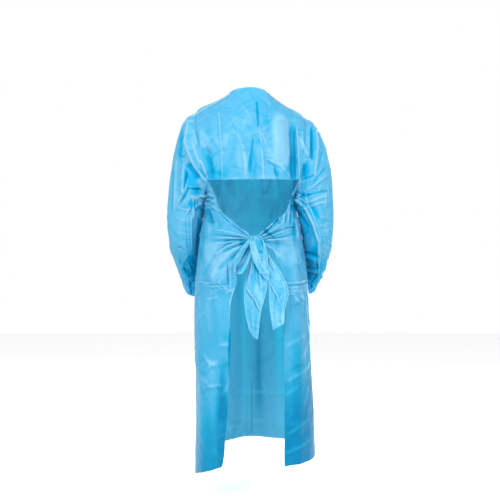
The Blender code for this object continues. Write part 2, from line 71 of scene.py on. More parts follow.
def table(columns, *rows):
    """Rows of sizes with named columns. Sizes left out at the end of a row are 0."""
    names = columns.split()
    return [dict.fromkeys(names, 0) | dict(zip(names, row)) for row in rows]


def column(rows, name):
    return np.array([row[name] for row in rows], float)


def as_piece(film, name):
    """Makes a piece of the gown from faces that were built up as film."""
    mesh = bpy.data.meshes.new(name)
    film.to_mesh(mesh)
    film.free()
    piece = bpy.data.objects.new(name, mesh)
    bpy.context.scene.collection.objects.link(piece)
    return piece


def worked(piece, kind, **settings):
    """Applies one modifier to the piece and shades it smooth."""
    modifier = piece.modifiers.new(kind, kind)
    for name, value in settings.items():
        setattr(modifier, name, value)
    bpy.context.view_layer.update()
    with bpy.context.temp_override(object=piece, active_object=piece):
        bpy.ops.object.modifier_apply(modifier=modifier.name)
    piece.data.shade_smooth()


SAME_POINT = 0.00002
# Only the faces along the cut edges of a solid's wall have an edge as short as this.
WALL_EDGE = 0.0014


def outer_face(node, name, levels):
    """The outer face of a solid's wall, as an open sheet of film, made finer."""
    film = bmesh.new()
    film.from_mesh(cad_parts[node].data)
    bmesh.ops.remove_doubles(film, verts=film.verts, dist=SAME_POINT)
    rim = [face for face in film.faces if min(edge.calc_length() for edge in face.edges) < WALL_EDGE]
    bmesh.ops.delete(film, geom=rim, context="FACES")
    middle = sum((vertex.co for vertex in film.verts), Vector()) / len(film.verts)
    unseen = set(film.faces)
    outward = {}
    while unseen:
        grown = [unseen.pop()]
        for face in grown:
            for edge in face.edges:
                for other in edge.link_faces:
                    if other in unseen:
                        unseen.remove(other)
                        grown.append(other)
        out = sum(
            face.normal.dot(face.calc_center_median() - middle) * face.calc_area()
            for face in grown
        )
        outward[out] = grown
    inner = [face for out, grown in outward.items() if out < max(outward) for face in grown]
    bmesh.ops.delete(film, geom=inner, context="FACES")
    bmesh.ops.join_triangles(
        film,
        faces=film.faces,
        angle_face_threshold=math.pi,
        angle_shape_threshold=math.pi,
    )
    piece = as_piece(film, name)
    worked(piece, "SUBSURF", levels=levels, render_levels=levels, boundary_smooth="PRESERVE_CORNERS")
    return piece


def points_of(piece):
    points = np.empty(len(piece.data.vertices) * 3)
    piece.data.vertices.foreach_get("co", points)
    return points.reshape(-1, 3)


def normals_of(piece):
    normals = np.empty(len(piece.data.vertices) * 3)
    piece.data.vertex_normals.foreach_get("vector", normals)
    return normals.reshape(-1, 3)


def move_to(piece, points):
    piece.data.vertices.foreach_set("co", points.reshape(-1))
    piece.data.update()


def eased(share):
    share = np.clip(share, 0, 1)
    return share * share * (3 - 2 * share)


# Across and outward as seen from each side of the gown.
VIEWS = {
    "back": ((1, 0, 0), (0, -1, 0)),
    "front": ((1, 0, 0), (0, 1, 0)),
    "left": ((0, 1, 0), (-1, 0, 0)),
    "right": ((0, 1, 0), (1, 0, 0)),
}


def seen(piece, view):
    """How far across each point lies as seen from one side, and how much it faces that side."""
    across, out = (np.array(axis, float) for axis in VIEWS[view])
    return points_of(piece) @ across, eased((normals_of(piece) @ out + 0.2) / 0.6)


# A crease runs from one place to another as seen from one side, and bows to its left. It
# stands proud, or sinks where its height is below zero. A crisp one has a sharp crest, a
# leaning one has a steep flank. A flaring one widens along its length, or towards its
# start where flare is below zero, and dies away slowly at its wide end.
CREASE = "from_x from_z to_x to_z width height crisp bow lean flare"
FADE_AT_ENDS = 0.2


def crease_lift(piece, creases, view):
    """How far the listed creases lift each point of the film."""
    x, facing = seen(piece, view)
    z = points_of(piece)[:, 2]
    lift = np.zeros(len(z))
    for crease in creases:
        run_x = (crease["to_x"] - crease["from_x"]) / 1000
        run_z = (crease["to_z"] - crease["from_z"]) / 1000
        length = math.hypot(run_x, run_z)
        from_x, from_z = x - crease["from_x"] / 1000, z - crease["from_z"] / 1000
        along = (from_x * run_x + from_z * run_z) / length**2
        aside = (from_x * run_z - from_z * run_x) / length
        aside = aside - crease["bow"] / 1000 * 4 * along * (1 - along)
        width = crease["width"] / 1000 * (1 + crease["flare"] * (2 * along - 1))
        width = np.maximum(width, 0.001) * (1 + crease["lean"] * np.sign(aside))
        off = np.abs(aside) / width
        across = crease["crisp"] * np.maximum(0, 1 - off)
        across += (1 - crease["crisp"]) * np.exp(-1.4 * off**2)
        start_fade = FADE_AT_ENDS + max(0, -crease["flare"])
        end_fade = FADE_AT_ENDS + max(0, crease["flare"])
        fade = eased(along / start_fade) * eased((1 - along) / end_fade)
        lift += crease["height"] / 1000 * across * fade
    return lift * facing


def crumple_lift(piece, seed, count, reach, width, height, where=None):
    """How far many short, uneven crumples lift the film, each up to reach long and about
    width wide. They are thickest where the function where is highest."""
    dice = np.random.default_rng(seed)
    points, normals = points_of(piece), normals_of(piece)
    lift = np.zeros(len(points))
    chance = where(points) if where else np.ones(len(points))
    for spot in dice.choice(len(points), count, p=chance / chance.sum()):
        way = dice.normal(size=3)
        way -= normals[spot] * (way @ normals[spot])
        way /= np.linalg.norm(way)
        side = np.cross(normals[spot], way)
        length = reach * dice.uniform(0.35, 1)
        spread = width * dice.uniform(0.5, 1.3)
        rise = height * dice.uniform(0.3, 1) * dice.choice((-1, 1))
        bow = dice.uniform(-0.25, 0.25)
        offset = points - points[spot]
        near = np.einsum("ij,ij->i", offset, offset) < (1.3 * length) ** 2
        offset = offset[near]
        along = offset @ way / length
        aside = np.abs(offset @ side - bow * length * along**2) / spread
        lift[near] += rise * np.maximum(0, 1 - aside) * eased(1.2 * (1 - np.abs(along)))
    return lift


def rim_of(piece, free=None):
    """The points on the film's cut edges, or only on those that free says are loose."""
    film = bmesh.new()
    film.from_mesh(piece.data)
    rim = [
        vertex.index
        for vertex in film.verts
        if vertex.is_boundary and (free is None or free(vertex.co))
    ]
    film.free()
    return rim


def nearest_of(points, places):
    """Which of the places is nearest to each point, and how far it is."""
    tree = kdtree.KDTree(len(places))
    for index, place in enumerate(places):
        tree.insert(place, index)
    tree.balance()
    found = [tree.find(point) for point in points]
    return np.array([hit[1] for hit in found]), np.array([hit[2] for hit in found])


HELD_WITHIN = 0.009


def held_at_seams(piece, free):
    """From 0 at the sealed edges to 1 inside the film, so that neighbours stay together."""
    points = points_of(piece)
    _, distance = nearest_of(points, points[rim_of(piece, lambda place: not free(place))])
    return 1 - np.exp(-((distance / HELD_WITHIN) ** 2))


# Ripples along a cut edge: radians a metre, share of the ruffle's height, and start.
RIPPLES = ((210, 1, 0), (337, 0.7, 1), (523, 0.5, 2))
ROLL_RIPPLE = 61


def rolled_lift(piece, free, width, height, ruffle=0.0):
    """The slight outward roll that film takes along a cut edge, and its ruffle if it has one."""
    points = points_of(piece)
    _, distance = nearest_of(points, points[rim_of(piece, free)])
    along = points @ np.array((1.0, 0.4, 0.9))
    wander = 0.65 + 0.35 * np.sin(ROLL_RIPPLE * along)
    roll = height * wander * np.exp(-((distance / width) ** 2))
    waves = sum(share * np.sin(pitch * along + start) for pitch, share, start in RIPPLES)
    return roll + ruffle * waves * np.exp(-((distance / (3 * width)) ** 2))


def sharpness(piece, lift):
    """How sharply the film is folded: above zero along a crest, below zero in a crease."""
    ends = np.empty(2 * len(piece.data.edges), int)
    piece.data.edges.foreach_get("vertices", ends)
    one, other = ends.reshape(-1, 2).T
    size = len(lift)
    neighbours = np.bincount(ends, minlength=size)
    around = lift
    for _ in range(4):
        total = np.bincount(one, around[other], size) + np.bincount(other, around[one], size)
        around = (around + total / neighbours) / 2
    return lift - around


# A fold this sharp and a lift this high paint the fullest highlight on a crest, and the fullest shade
# in a sunken crease.
FULL_FOLD = 0.0012
FULL_LIFT = 0.006


def shape(piece, lift, swell=0.0):
    """Moves the film along its normals, and keeps how far and how sharply as attributes, which paint
    highlight on its crests and shade in its creases.
    """
    mark(piece, "fold", sharpness(piece, lift) / FULL_FOLD)
    mark(piece, "lift", lift / FULL_LIFT)
    move_to(piece, points_of(piece) + normals_of(piece) * (lift + swell)[:, None])


def mark(piece, name, values):
    layer = piece.data.attributes.new(name, "FLOAT", "POINT")
    layer.data.foreach_set("value", np.clip(values, -1, 1).astype(np.float32))


# A patch is a place where the film is painted deeper, mostly as shade in a hollow, or paler as
# painted light where its amount is below zero.
PATCH = "x z half_width half_height amount turn"
PATCH_ROUNDNESS = 1.3
# Painted shade: the film is painted deeper towards the hem.
PAINTED_SHADE_BELOW = -0.74
PAINTED_SHADE_PER_METRE = 0.72


def deepened(piece, patches, view="back", both_ways=False, more=0.0):
    """Marks where the film's blue is deeper: where it lies double, and as painted shade in its
    hollows and towards the hem. A patch below zero paints it paler, as painted light.
    """
    across, facing = seen(piece, view)
    height = points_of(piece)[:, 2]
    deep = np.zeros(len(height)) + more
    for patch in patches:
        x = across - patch["x"] / 1000
        z = height - patch["z"] / 1000
        turn = math.radians(patch["turn"])
        u = (x * math.cos(turn) + z * math.sin(turn)) / (patch["half_width"] / 1000)
        v = (z * math.cos(turn) - x * math.sin(turn)) / (patch["half_height"] / 1000)
        from_middle = np.abs(u) ** PATCH_ROUNDNESS + np.abs(v) ** PATCH_ROUNDNESS
        from_middle = from_middle ** (1 / PATCH_ROUNDNESS)
        deep += patch["amount"] * (1 - eased((from_middle - 0.55) / 0.7))
    # Painted shade, deeper towards the hem.
    shade_towards_hem = np.clip(PAINTED_SHADE_BELOW - height, 0, None) * PAINTED_SHADE_PER_METRE
    mark(piece, "deep", deep * (1 if both_ways else facing) + shade_towards_hem)


HEM = "x drop"


def hem_cut(piece, rows, fade=0.09):
    """Lets the hem hang lower or higher, eased off above it."""
    points = points_of(piece)
    drop = np.interp(points[:, 0] * 1000, column(rows, "x"), column(rows, "drop"))
    bottom = points[:, 2].min()
    points[:, 2] -= drop / 1000 * eased(1 - (points[:, 2] - bottom) / fade)
    move_to(piece, points)


def closed_up(piece, neighbours, reach=0.012, most=0.007):
    """Draws the film's sealed edge onto its neighbours' edges, easing off inside the film."""
    points = points_of(piece)
    rim = points[rim_of(piece)]
    edges = np.concatenate([RIMS[other.name] for other in neighbours])
    nearest, distance = nearest_of(rim, edges)
    sealed = distance < most
    shift = (edges[nearest] - rim)[sealed]
    nearest, distance = nearest_of(points, rim[sealed])
    move_to(piece, points + shift[nearest] * (1 - eased(distance / reach))[:, None])


FILM_THICKNESS = 0.0003
# Where each finished piece's edges lie, for the pieces that are sealed to it.
RIMS = {}


def walled(piece, painted_light_inside=1.0):
    """Gives the sheet the thickness of film, on its inner side, and marks that inner face to be
    painted paler, as painted light.
    """
    RIMS[piece.name] = points_of(piece)[rim_of(piece)]
    outer = len(piece.data.vertices)
    worked(piece, "SOLIDIFY", thickness=FILM_THICKNESS, offset=-1)
    inside = np.zeros(len(piece.data.vertices))
    inside[outer:] = painted_light_inside
    mark(piece, "inside", inside)


class Socket:
    """An output of a film's shader. Arithmetic on it adds the Math nodes."""

    def __init__(self, tree, output):
        self.tree, self.output = tree, output

    def node(self, kind, settings, inputs, output=0):
        """Adds a node of any kind: its settings first, then the values or links of its sockets."""
        made = self.tree.nodes.new(kind)
        for name, value in settings.items():
            if name == "stops":
                while len(made.color_ramp.elements) < len(value):
                    made.color_ramp.elements.new(0.5)
                for element, (place, colour) in zip(made.color_ramp.elements, value):
                    element.position = place
                    element.color = (*colour, 1)
            else:
                setattr(made, name, value)
        for name, value in inputs.items():
            if isinstance(value, Socket):
                self.tree.links.new(value.output, made.inputs[name])
            else:
                made.inputs[name].default_value = value
        return Socket(self.tree, made.outputs[output])

    def maths(self, operation, first, second=0.0):
        return self.node("ShaderNodeMath", {"operation": operation}, {0: first, 1: second})

    def __add__(self, other):
        return self.maths("ADD", self, other)

    def __sub__(self, other):
        return self.maths("SUBTRACT", self, other)

    def __rsub__(self, other):
        return self.maths("SUBTRACT", other, self)

    def __mul__(self, other):
        return self.maths("MULTIPLY", self, other)

    def __abs__(self):
        return self.maths("ABSOLUTE", self)

    __radd__ = __add__
    __rmul__ = __mul__


# The film's blues, from deepest to palest. Painted shade draws the film towards the deeper ones and
# painted highlight towards the palest.
DEEP_BLUE = (0.000, 0.180, 0.360)
STRONG_BLUE = (0.000, 0.340, 0.580)
FILM_BLUE = (0.078, 0.412, 0.630)
PALE_BLUE = (0.260, 0.620, 0.810)
LIT_FROM_BEHIND = (0.008, 0.400, 0.680)
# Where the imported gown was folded, across and down.
PACKING_FOLDS_X = (0.0, -0.104, 0.104)
PACKING_FOLDS_Z = (-0.14, -0.33, -0.50, -0.68, -0.88, -1.09)
# How far the fine crumple strays from straight lines, and how far it does on average.
STRAY = 0.05
MEAN_STRAY = 0.025


def film_finish(
    name,
    tone=0.62,
    light_through=0.3,
    crumple=1.0,
    folds=0.0,
    gloss=0.16,
    strong=STRONG_BLUE,
    glow=LIT_FROM_BEHIND,
):
    """Glossy, slightly cloudy blue film, with the fine crumple that it keeps from being packed flat.
    It is painted paler on its crests as highlight, deeper in its creases and hollows as shade,
    deeper where it lies double, and paler on its inner face as light."""
    material = bpy.data.materials.new(name)
    material.use_nodes = True
    tree = material.node_tree
    tree.nodes.clear()
    place = Socket(tree, tree.nodes.new("ShaderNodeTexCoord").outputs["Object"])
    lift, fold, deep, inside = (
        place.node("ShaderNodeAttribute", {"attribute_name": mark_name}, {}, "Fac")
        for mark_name in ("lift", "fold", "deep", "inside")
    )
    cloud = place.node("ShaderNodeTexNoise", {}, {"Vector": place, "Scale": 9.0, "Detail": 3.0})
    grain = place.node("ShaderNodeTexNoise", {}, {"Vector": place, "Scale": 70.0, "Detail": 4.0})
    # Painted light and shade: the film is painted paler on its crests and sharp folds as highlight,
    # deeper in its creases as shade, and paler on its inner face as light; the mark of depth and
    # shade deepens it in hollows, where it lies double and towards the hem.
    shade = tone + lift * 0.30 + fold * 0.10 + inside * 0.36
    shade = shade - deep * 0.55 + (cloud - 0.5) * 0.10 + (grain - 0.5) * 0.06
    stops = ((0.05, DEEP_BLUE), (0.38, strong), (0.60, FILM_BLUE), (0.92, PALE_BLUE))
    colour = shade.node("ShaderNodeValToRGB", {"stops": stops}, {"Fac": shade})
    wander = place.node("ShaderNodeTexNoise", {}, {"Vector": place, "Scale": 14.0}, "Color")
    strayed = place.node(
        "ShaderNodeVectorMath", {"operation": "MULTIPLY_ADD"}, {0: wander, 1: (STRAY,) * 3, 2: place}
    )
    facets = strayed.node("ShaderNodeTexVoronoi", {}, {"Vector": strayed, "Scale": 34.0}, "Distance")
    small = strayed.node("ShaderNodeTexVoronoi", {}, {"Vector": strayed, "Scale": 95.0}, "Distance")
    height = facets * 0.0016 + small * 0.0004 + grain * 0.0003
    if folds:
        for axis, places in (("X", PACKING_FOLDS_X), ("Z", PACKING_FOLDS_Z)):
            coordinate = strayed.node("ShaderNodeSeparateXYZ", {}, {"Vector": strayed}, axis)
            for crease in places:
                off = abs(coordinate - (crease + MEAN_STRAY))
                ridge = off.maths("MAXIMUM", 1 - off * 220.0, 0.0)
                height = height + ridge * (0.0012 * folds)
    bump = height.node(
        "ShaderNodeBump", {}, {"Strength": 0.6 * crumple, "Distance": 1.0, "Height": height}
    )
    surface = bump.node(
        "ShaderNodeBsdfPrincipled",
        {},
        {
            "Base Color": colour,
            "Roughness": 0.29 + (cloud - 0.5) * 0.25,
            "IOR": 1.45,
            "Specular IOR Level": gloss,
            "Normal": bump,
        },
        "BSDF",
    )
    through = bump.node(
        "ShaderNodeBsdfTranslucent", {}, {"Color": (*glow, 1), "Normal": bump}, "BSDF"
    )
    thinness = light_through * (0.4 + shade)
    mixed = bump.node("ShaderNodeMixShader", {}, {0: thinness, 1: surface, 2: through})
    output = tree.nodes.new("ShaderNodeOutputMaterial")
    tree.links.new(mixed.output, output.inputs["Surface"])
    return material


front_creases = table(
    CREASE,
    (-5, -1015, -3, -1261, 3, 2.6, 0.9),
    (6, -1022, 7, -1261, 3, -1.9, 0.9),
    (-28, -1030, -27, -1238, 3.8, 1.7, 0.7),
    (-48, -1179, 101, -1199, 3, 1.7, 0.8),
    (-45, -1145, 89, -1149, 3, -1.5, 0.8),
    (-56, -1203, 82, -1211, 3, 1.5, 0.8),
    (45, -1022, 71, -1127, 6, 2.1, 0.5),
    (-45, -1093, 75, -1086, 3.8, 1.3, 0.7),
    (-60, -190, -110, -400, 14, 4, 0.3, 6),
    (58, -196, 112, -410, 14, 4, 0.3, -6),
    (-30, -170, -52, -420, 9, 2.6, 0.5, 4),
    (26, -176, 50, -380, 9, -2.6, 0.5, -5),
    (-142, -230, -98, -296, 9, 2.6, 0.5),
    (84, -262, 60, -350, 8, -2.4, 0.5),
    (-150, -420, -40, -520, 12, 5, 0.4, -6, 0, 0.3),
    (150, -420, 44, -528, 12, 5, 0.4, 6, 0, 0.3),
    (-160, -470, -60, -610, 12, -4, 0.4, -8, 0, 0.3),
    (160, -474, 66, -604, 12, -4, 0.4, 8, 0, 0.3),
    (-96, -500, -104, -1280, 22, 7, 0.2, 5, 0, 0.2),
    (-30, -560, -26, -1290, 16, 4, 0.25, -4, 0, 0.2),
    (34, -540, 40, -1290, 18, -5, 0.2, 4, 0, 0.2),
    (98, -520, 112, -1290, 22, 7, 0.2, -5, 0, 0.2),
    (-150, -600, -156, -1300, 18, -5, 0.25, 4),
    (152, -600, 166, -1290, 18, -5, 0.25, -4),
    (-200, -660, 200, -655, 5, 2.2, 0.7, 2),
    (-200, -440, 200, -446, 5, 1.6, 0.7, -2),
    (-210, -880, 215, -872, 5, 1.6, 0.7, 2),
    (-210, -1080, 220, -1086, 5, 1.6, 0.7, -2),
    (0, -96, 2, -1270, 4.5, 1.8, 0.8, 2),
    (-104, -180, -108, -1290, 4, -1.2, 0.7),
    (104, -180, 108, -1280, 4, -1.2, 0.7),
)
# Painted shade in two hollows of the front.
front_shade_patches = table(
    PATCH,
    (-70, -360, 60, 90, 0.25, 20),
    (80, -370, 60, 90, 0.25, -20),
)
front = outer_face("front_panel", "front_film", 2)


def front_free(place):
    """The hem and the neckline."""
    return place.z < -1.2 or abs(place.x) < 0.08 and place.z > -0.1


shape(
    front,
    crease_lift(front, front_creases, "front")
    + held_at_seams(front, front_free) * crumple_lift(front, 11, 260, 0.10, 0.016, 0.0022)
    + rolled_lift(front, front_free, 0.004, 0.0015),
)
deepened(front, front_shade_patches, "front")
hem_cut(front, table(HEM, (-206, 15), (-185, 11), (-150, 4), (-110, 0), (210, 0)))
walled(front)
FRONT_GLOW = (0.09, 0.60, 0.72)
front_finish = film_finish("front_film", light_through=0.42, folds=1.0, glow=FRONT_GLOW)
front.data.materials.append(front_finish)
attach(front, "root")
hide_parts("front_panel")

# Back yoke. A short piece of the same film across the shoulder blades, cut straight along
# its lower edge and left loose there. The pull of the sleeves creases it.
shoulder_creases = table(
    CREASE,
    (-107, -59, -96, -222, 4.5, 3.7, 1, 0, 0.35),
    (-97, -201, -91, -337, 4.5, 3.7, 1, 0, 0.35),
    (-78, -154, -88, -215, 14, 2.8, 0.2),
    (-47, -154, -17, -222, 6.8, 3.4, 0.8),
    (-25, -215, -8, -330, 11, 5.7, 0.6, 0, -0.3, 0.2),
    (12, -157, -6, -337, 6.8, -5, 0.7, 0, 0, 0.3),
    (23, -32, 29, -147, 5.2, -4.7, 0.8),
    (29, -127, 41, -222, 5.2, 4.7, 0.9, 0, 0, 0.4),
    (39, -201, 47, -337, 6.8, 5, 0.7, 0, 0, 0.2),
    (39, -154, 57, -205, 4.5, 3.1, 0.9),
    (61, -97, 74, -222, 16, -3.8, 0.1),
    (105, -86, 108, -283, 22, 8.5, 0.1),
    (56, -244, 105, -274, 3.8, 4.1, 1, 0, -0.2),
    (95, -264, 145, -316, 3.8, 4.4, 1, 0, -0.2),
    (51, -255, 101, -279, 4.5, -3.7, 0.8),
    (47, -235, 88, -237, 3, 2.5, 1, 2),
    (68, -249, 105, -254, 3, 2.3, 1, -2),
    (61, -225, 54, -266, 3, 2.2, 1),
    (79, -266, 98, -337, 4.5, -3.7, 0.8),
    (143, -107, 148, -343, 11, -12.3, 0.25),
    (158, -120, 169, -350, 4.5, 6.5, 0.9, 0, -0.2),
    (176, -141, 181, -222, 6.8, 3.1, 0.5),
    (164, -161, 201, -242, 6, 5.6, 0.7),
    (184, -247, 210, -244, 3, 4.7, 1),
    (188, -255, 179, -313, 6.8, -7.8, 0.4),
    (213, -114, 211, -255, 6.8, -8.6, 0.5),
    (227, -120, 234, -215, 5.2, 5.9, 0.8),
    (233, -188, 219, -310, 5.2, 6.2, 0.8),
    (250, -208, 230, -289, 4.5, -3.4, 0.7),
    (257, -181, 274, -276, 6, 3.1, 0.5),
    (172, -316, 223, -298, 4.5, -5, 0.8),
    (199, -348, 267, -291, 4.5, 5.9, 0.9, 0, 0.2),
    (210, -330, 264, -266, 5.2, -3.7, 0.5),
    (159, -350, 189, -370, 4.5, -5.3, 0.8),
    (183, -372, 277, -348, 4.5, -5, 0.8, -3),
    (186, -394, 270, -362, 6.8, 5, 0.5),
    (184, -413, 264, -386, 6, 5.3, 0.7, -3),
    (260, -357, 259, -404, 4.5, 3.7, 0.8),
    (-213, -107, -223, -188, 6.8, 4.7, 0.6),
    (-225, -168, -176, -293, 6.8, 9.3, 0.7, 4, 0.2),
    (-183, -279, -122, -360, 5.2, 9.3, 0.9, -3, 0.2),
    (-199, -181, -166, -269, 6.8, 5, 0.6, 2),
    (-171, -242, -137, -326, 6, 6.5, 0.8, 0, -0.2),
    (-174, -272, -149, -316, 3, -5.6, 0.8),
    (-149, -195, -125, -310, 14, -4.9, 0.2),
    (-196, -134, -179, -201, 5.2, 2.5, 0.6),
    (-183, -147, -169, -215, 4.5, -2.2, 0.6),
    (-235, -120, -238, -235, 6.8, -5, 0.5),
    (-248, -227, -220, -237, 3, -4.1, 0.9),
    (-247, -240, -223, -249, 4.5, 2.5, 0.6),
    (-215, -255, -172, -316, 12, -12.3, 0.3),
    (-225, -242, -232, -370, 6, 4.7, 0.6),
    (-250, -215, -262, -438, 6, 3.7, 0.6),
    (-265, -249, -270, -431, 5.2, -2.8, 0.5),
    (-215, -276, -227, -350, 6.8, -6.2, 0.5),
    (-254, -408, -223, -350, 4.5, 5.9, 0.9, 0, -0.2),
    (-223, -357, -210, -303, 4.5, 3.4, 0.7),
    (-243, -397, -206, -337, 6, -7.2, 0.6),
    (-254, -406, -206, -419, 3.8, 4.7, 0.9),
    (-221, -438, -201, -394, 3.8, 5.6, 0.9),
    (-213, -337, -159, -338, 3.8, 2.8, 0.8),
    (-223, -343, -162, -346, 3.8, -3.1, 0.8),
    (-199, -377, -122, -359, 5.2, 7.2, 0.8, -3),
    (-195, -374, -188, -421, 3.8, -6.2, 0.8),
    (-164, -381, -191, -421, 3.8, -6.2, 0.9),
    (-176, -384, -184, -404, 4.5, 4.7, 0.7),
    (-197, -384, -198, -455, 3.8, 4.4, 0.9),
)
# Painted shade in the yoke's hollows, and painted light where the amount is below zero.
yoke_shade_patches = table(
    PATCH,
    (-141, -270, 26, 60, 0.12, 10),
    (-120, -305, 40, 32, 0.28),
    (146, -240, 9, 90, 0.28),
    (192, -280, 12, 34, 0.7, -5),
    (212, -190, 10, 60, 0.4),
    (10, -265, 18, 50, 0.28),
    (-88, -290, 26, 20, 0.25),
    (90, -292, 10, 20, 0.4, 20),
    (24, -80, 6, 50, 0.15),
    (100, -182, 54, 108, -0.42),
    (-30, -250, 20, 70, -0.25, 10),
    (-150, -190, 18, 60, -0.35, 20),
)
yoke = outer_face("back_yoke", "yoke_film", 3)


def yoke_free(place):
    """The lower edge and the neckline."""
    return abs(place.x) < 0.155 and place.z < -0.3 or abs(place.x) < 0.07 and place.z > -0.02


shape(
    yoke,
    crease_lift(yoke, shoulder_creases, "back")
    + held_at_seams(yoke, yoke_free)
    * (
        crumple_lift(yoke, 21, 150, 0.07, 0.012, 0.0016)
        + crumple_lift(yoke, 22, 90, 0.03, 0.005, 0.0012)
    )
    + rolled_lift(yoke, yoke_free, 0.003, 0.0014),
)
deepened(yoke, yoke_shade_patches)
closed_up(yoke, [front], most=0.012)
walled(yoke)
yoke.data.materials.append(film_finish("yoke_film"))
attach(yoke, "root")
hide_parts("back_yoke")

# Back flaps. Each is sealed to the front down the side and loose at its other edges. Its
# upper corner is drawn out into a tie, so pleats run from the side to the knot. The right one
# is the left one turned over, with more of it gathered at the knot.
flap_left_creases = table(
    CREASE,
    (-115, -397, -71, -442, 3.4, 4.7, 0.9, -2),
    (-73, -441, 3, -510, 3.4, 4.7, 0.9),
    (-111, -417, -65, -467, 3, -4.5, 0.9),
    (-66, -465, -3, -511, 3, -4.5, 0.9),
    (-156, -477, 0, -515, 5.2, 6.1, 0.7, -4, 0, -0.5),
    (-149, -498, 0, -515, 3.8, -5.3, 0.8, -1, 0, -0.4),
    (-156, -510, 0, -516, 4.5, 5.9, 0.7, 0, 0, -0.5),
    (-159, -523, 0, -517, 3.8, -4.7, 0.8, 1, 0, -0.4),
    (-153, -536, 0, -519, 4.5, 4.7, 0.7, 2, 0, -0.4),
    (-121, -558, -76, -532, 3, -5.6, 0.9, 3),
    (-83, -535, 3, -521, 3, -6.1, 0.95, -3),
    (-130, -573, 3, -523, 6, 6.7, 0.6, -10, 0, -0.4),
    (-153, -596, 0, -526, 6.8, -4.5, 0.4, -8, 0, -0.4),
    (-159, -623, 3, -530, 10, 6.8, 0.4, -10, 0, -0.5),
    (-133, -643, -3, -540, 6.8, -4.2, 0.4, -7, 0, -0.4),
    (-110, -653, -7, -546, 6.8, 4.7, 0.5, -5, 0, -0.4),
    (-76, -590, -74, -673, 3.4, -6.1, 0.8),
    (-63, -586, -65, -692, 3.8, 4.7, 0.7),
    (-93, -570, -133, -656, 10, 4.4, 0.3),
    (-110, -556, -159, -639, 6.8, -3.1, 0.4),
    (-146, -407, -126, -467, 6.8, -6.3, 0.4),
    (-163, -427, -169, -553, 6, 4.2, 0.4),
    (-178, -660, -122, -667, 4, 3.1, 0.7),
    (-151, -667, -66, -663, 4, -3.1, 0.7, 3),
    (-119, -668, -92, -685, 4, 3.4, 0.8),
    (-112, -658, -79, -680, 4, 3.1, 0.8),
    (-92, -678, -56, -691, 4, 3.4, 0.8),
    (-135, -685, -79, -675, 4, -2.7, 0.8),
    (-86, -698, -43, -678, 5, 3.7, 0.6),
    (-105, -708, -142, -719, 5, 2.7, 0.6),
    (-142, -704, -132, -843, 12, 1.7, 0.3),
    (-119, -718, -112, -882, 12, -1.3, 0.2),
    (-69, -698, -59, -830, 7, 1.6, 0.5),
    (-51, -672, -68, -741, 6, 4.8, 0.6),
    (-60, -810, -72, -895, 8, -4.7, 0.3),
    (-104, -868, -64, -864, 8, 3.4, 0.3),
    (-158, -902, -125, -937, 8, 2.3, 0.3),
    (-151, -922, -105, -937, 8, 2.1, 0.3),
    (-145, -945, -102, -920, 8, 2.1, 0.3),
    (-171, -978, -109, -1016, 8, 2.3, 0.3),
    (-161, -1012, -79, -999, 8, 2.1, 0.3),
    (-145, -994, -92, -1021, 8, -1.6, 0.3),
    (-79, -869, -102, -1129, 16, -2, 0.2),
    (-128, -882, -119, -1198, 20, 2.4, 0.15),
    (-53, -975, -99, -1040, 8, 2.6, 0.3),
    (-168, -1047, -151, -1264, 12, 1.8, 0.2),
    (-92, -1113, -125, -1251, 12, 1.4, 0.2),
)
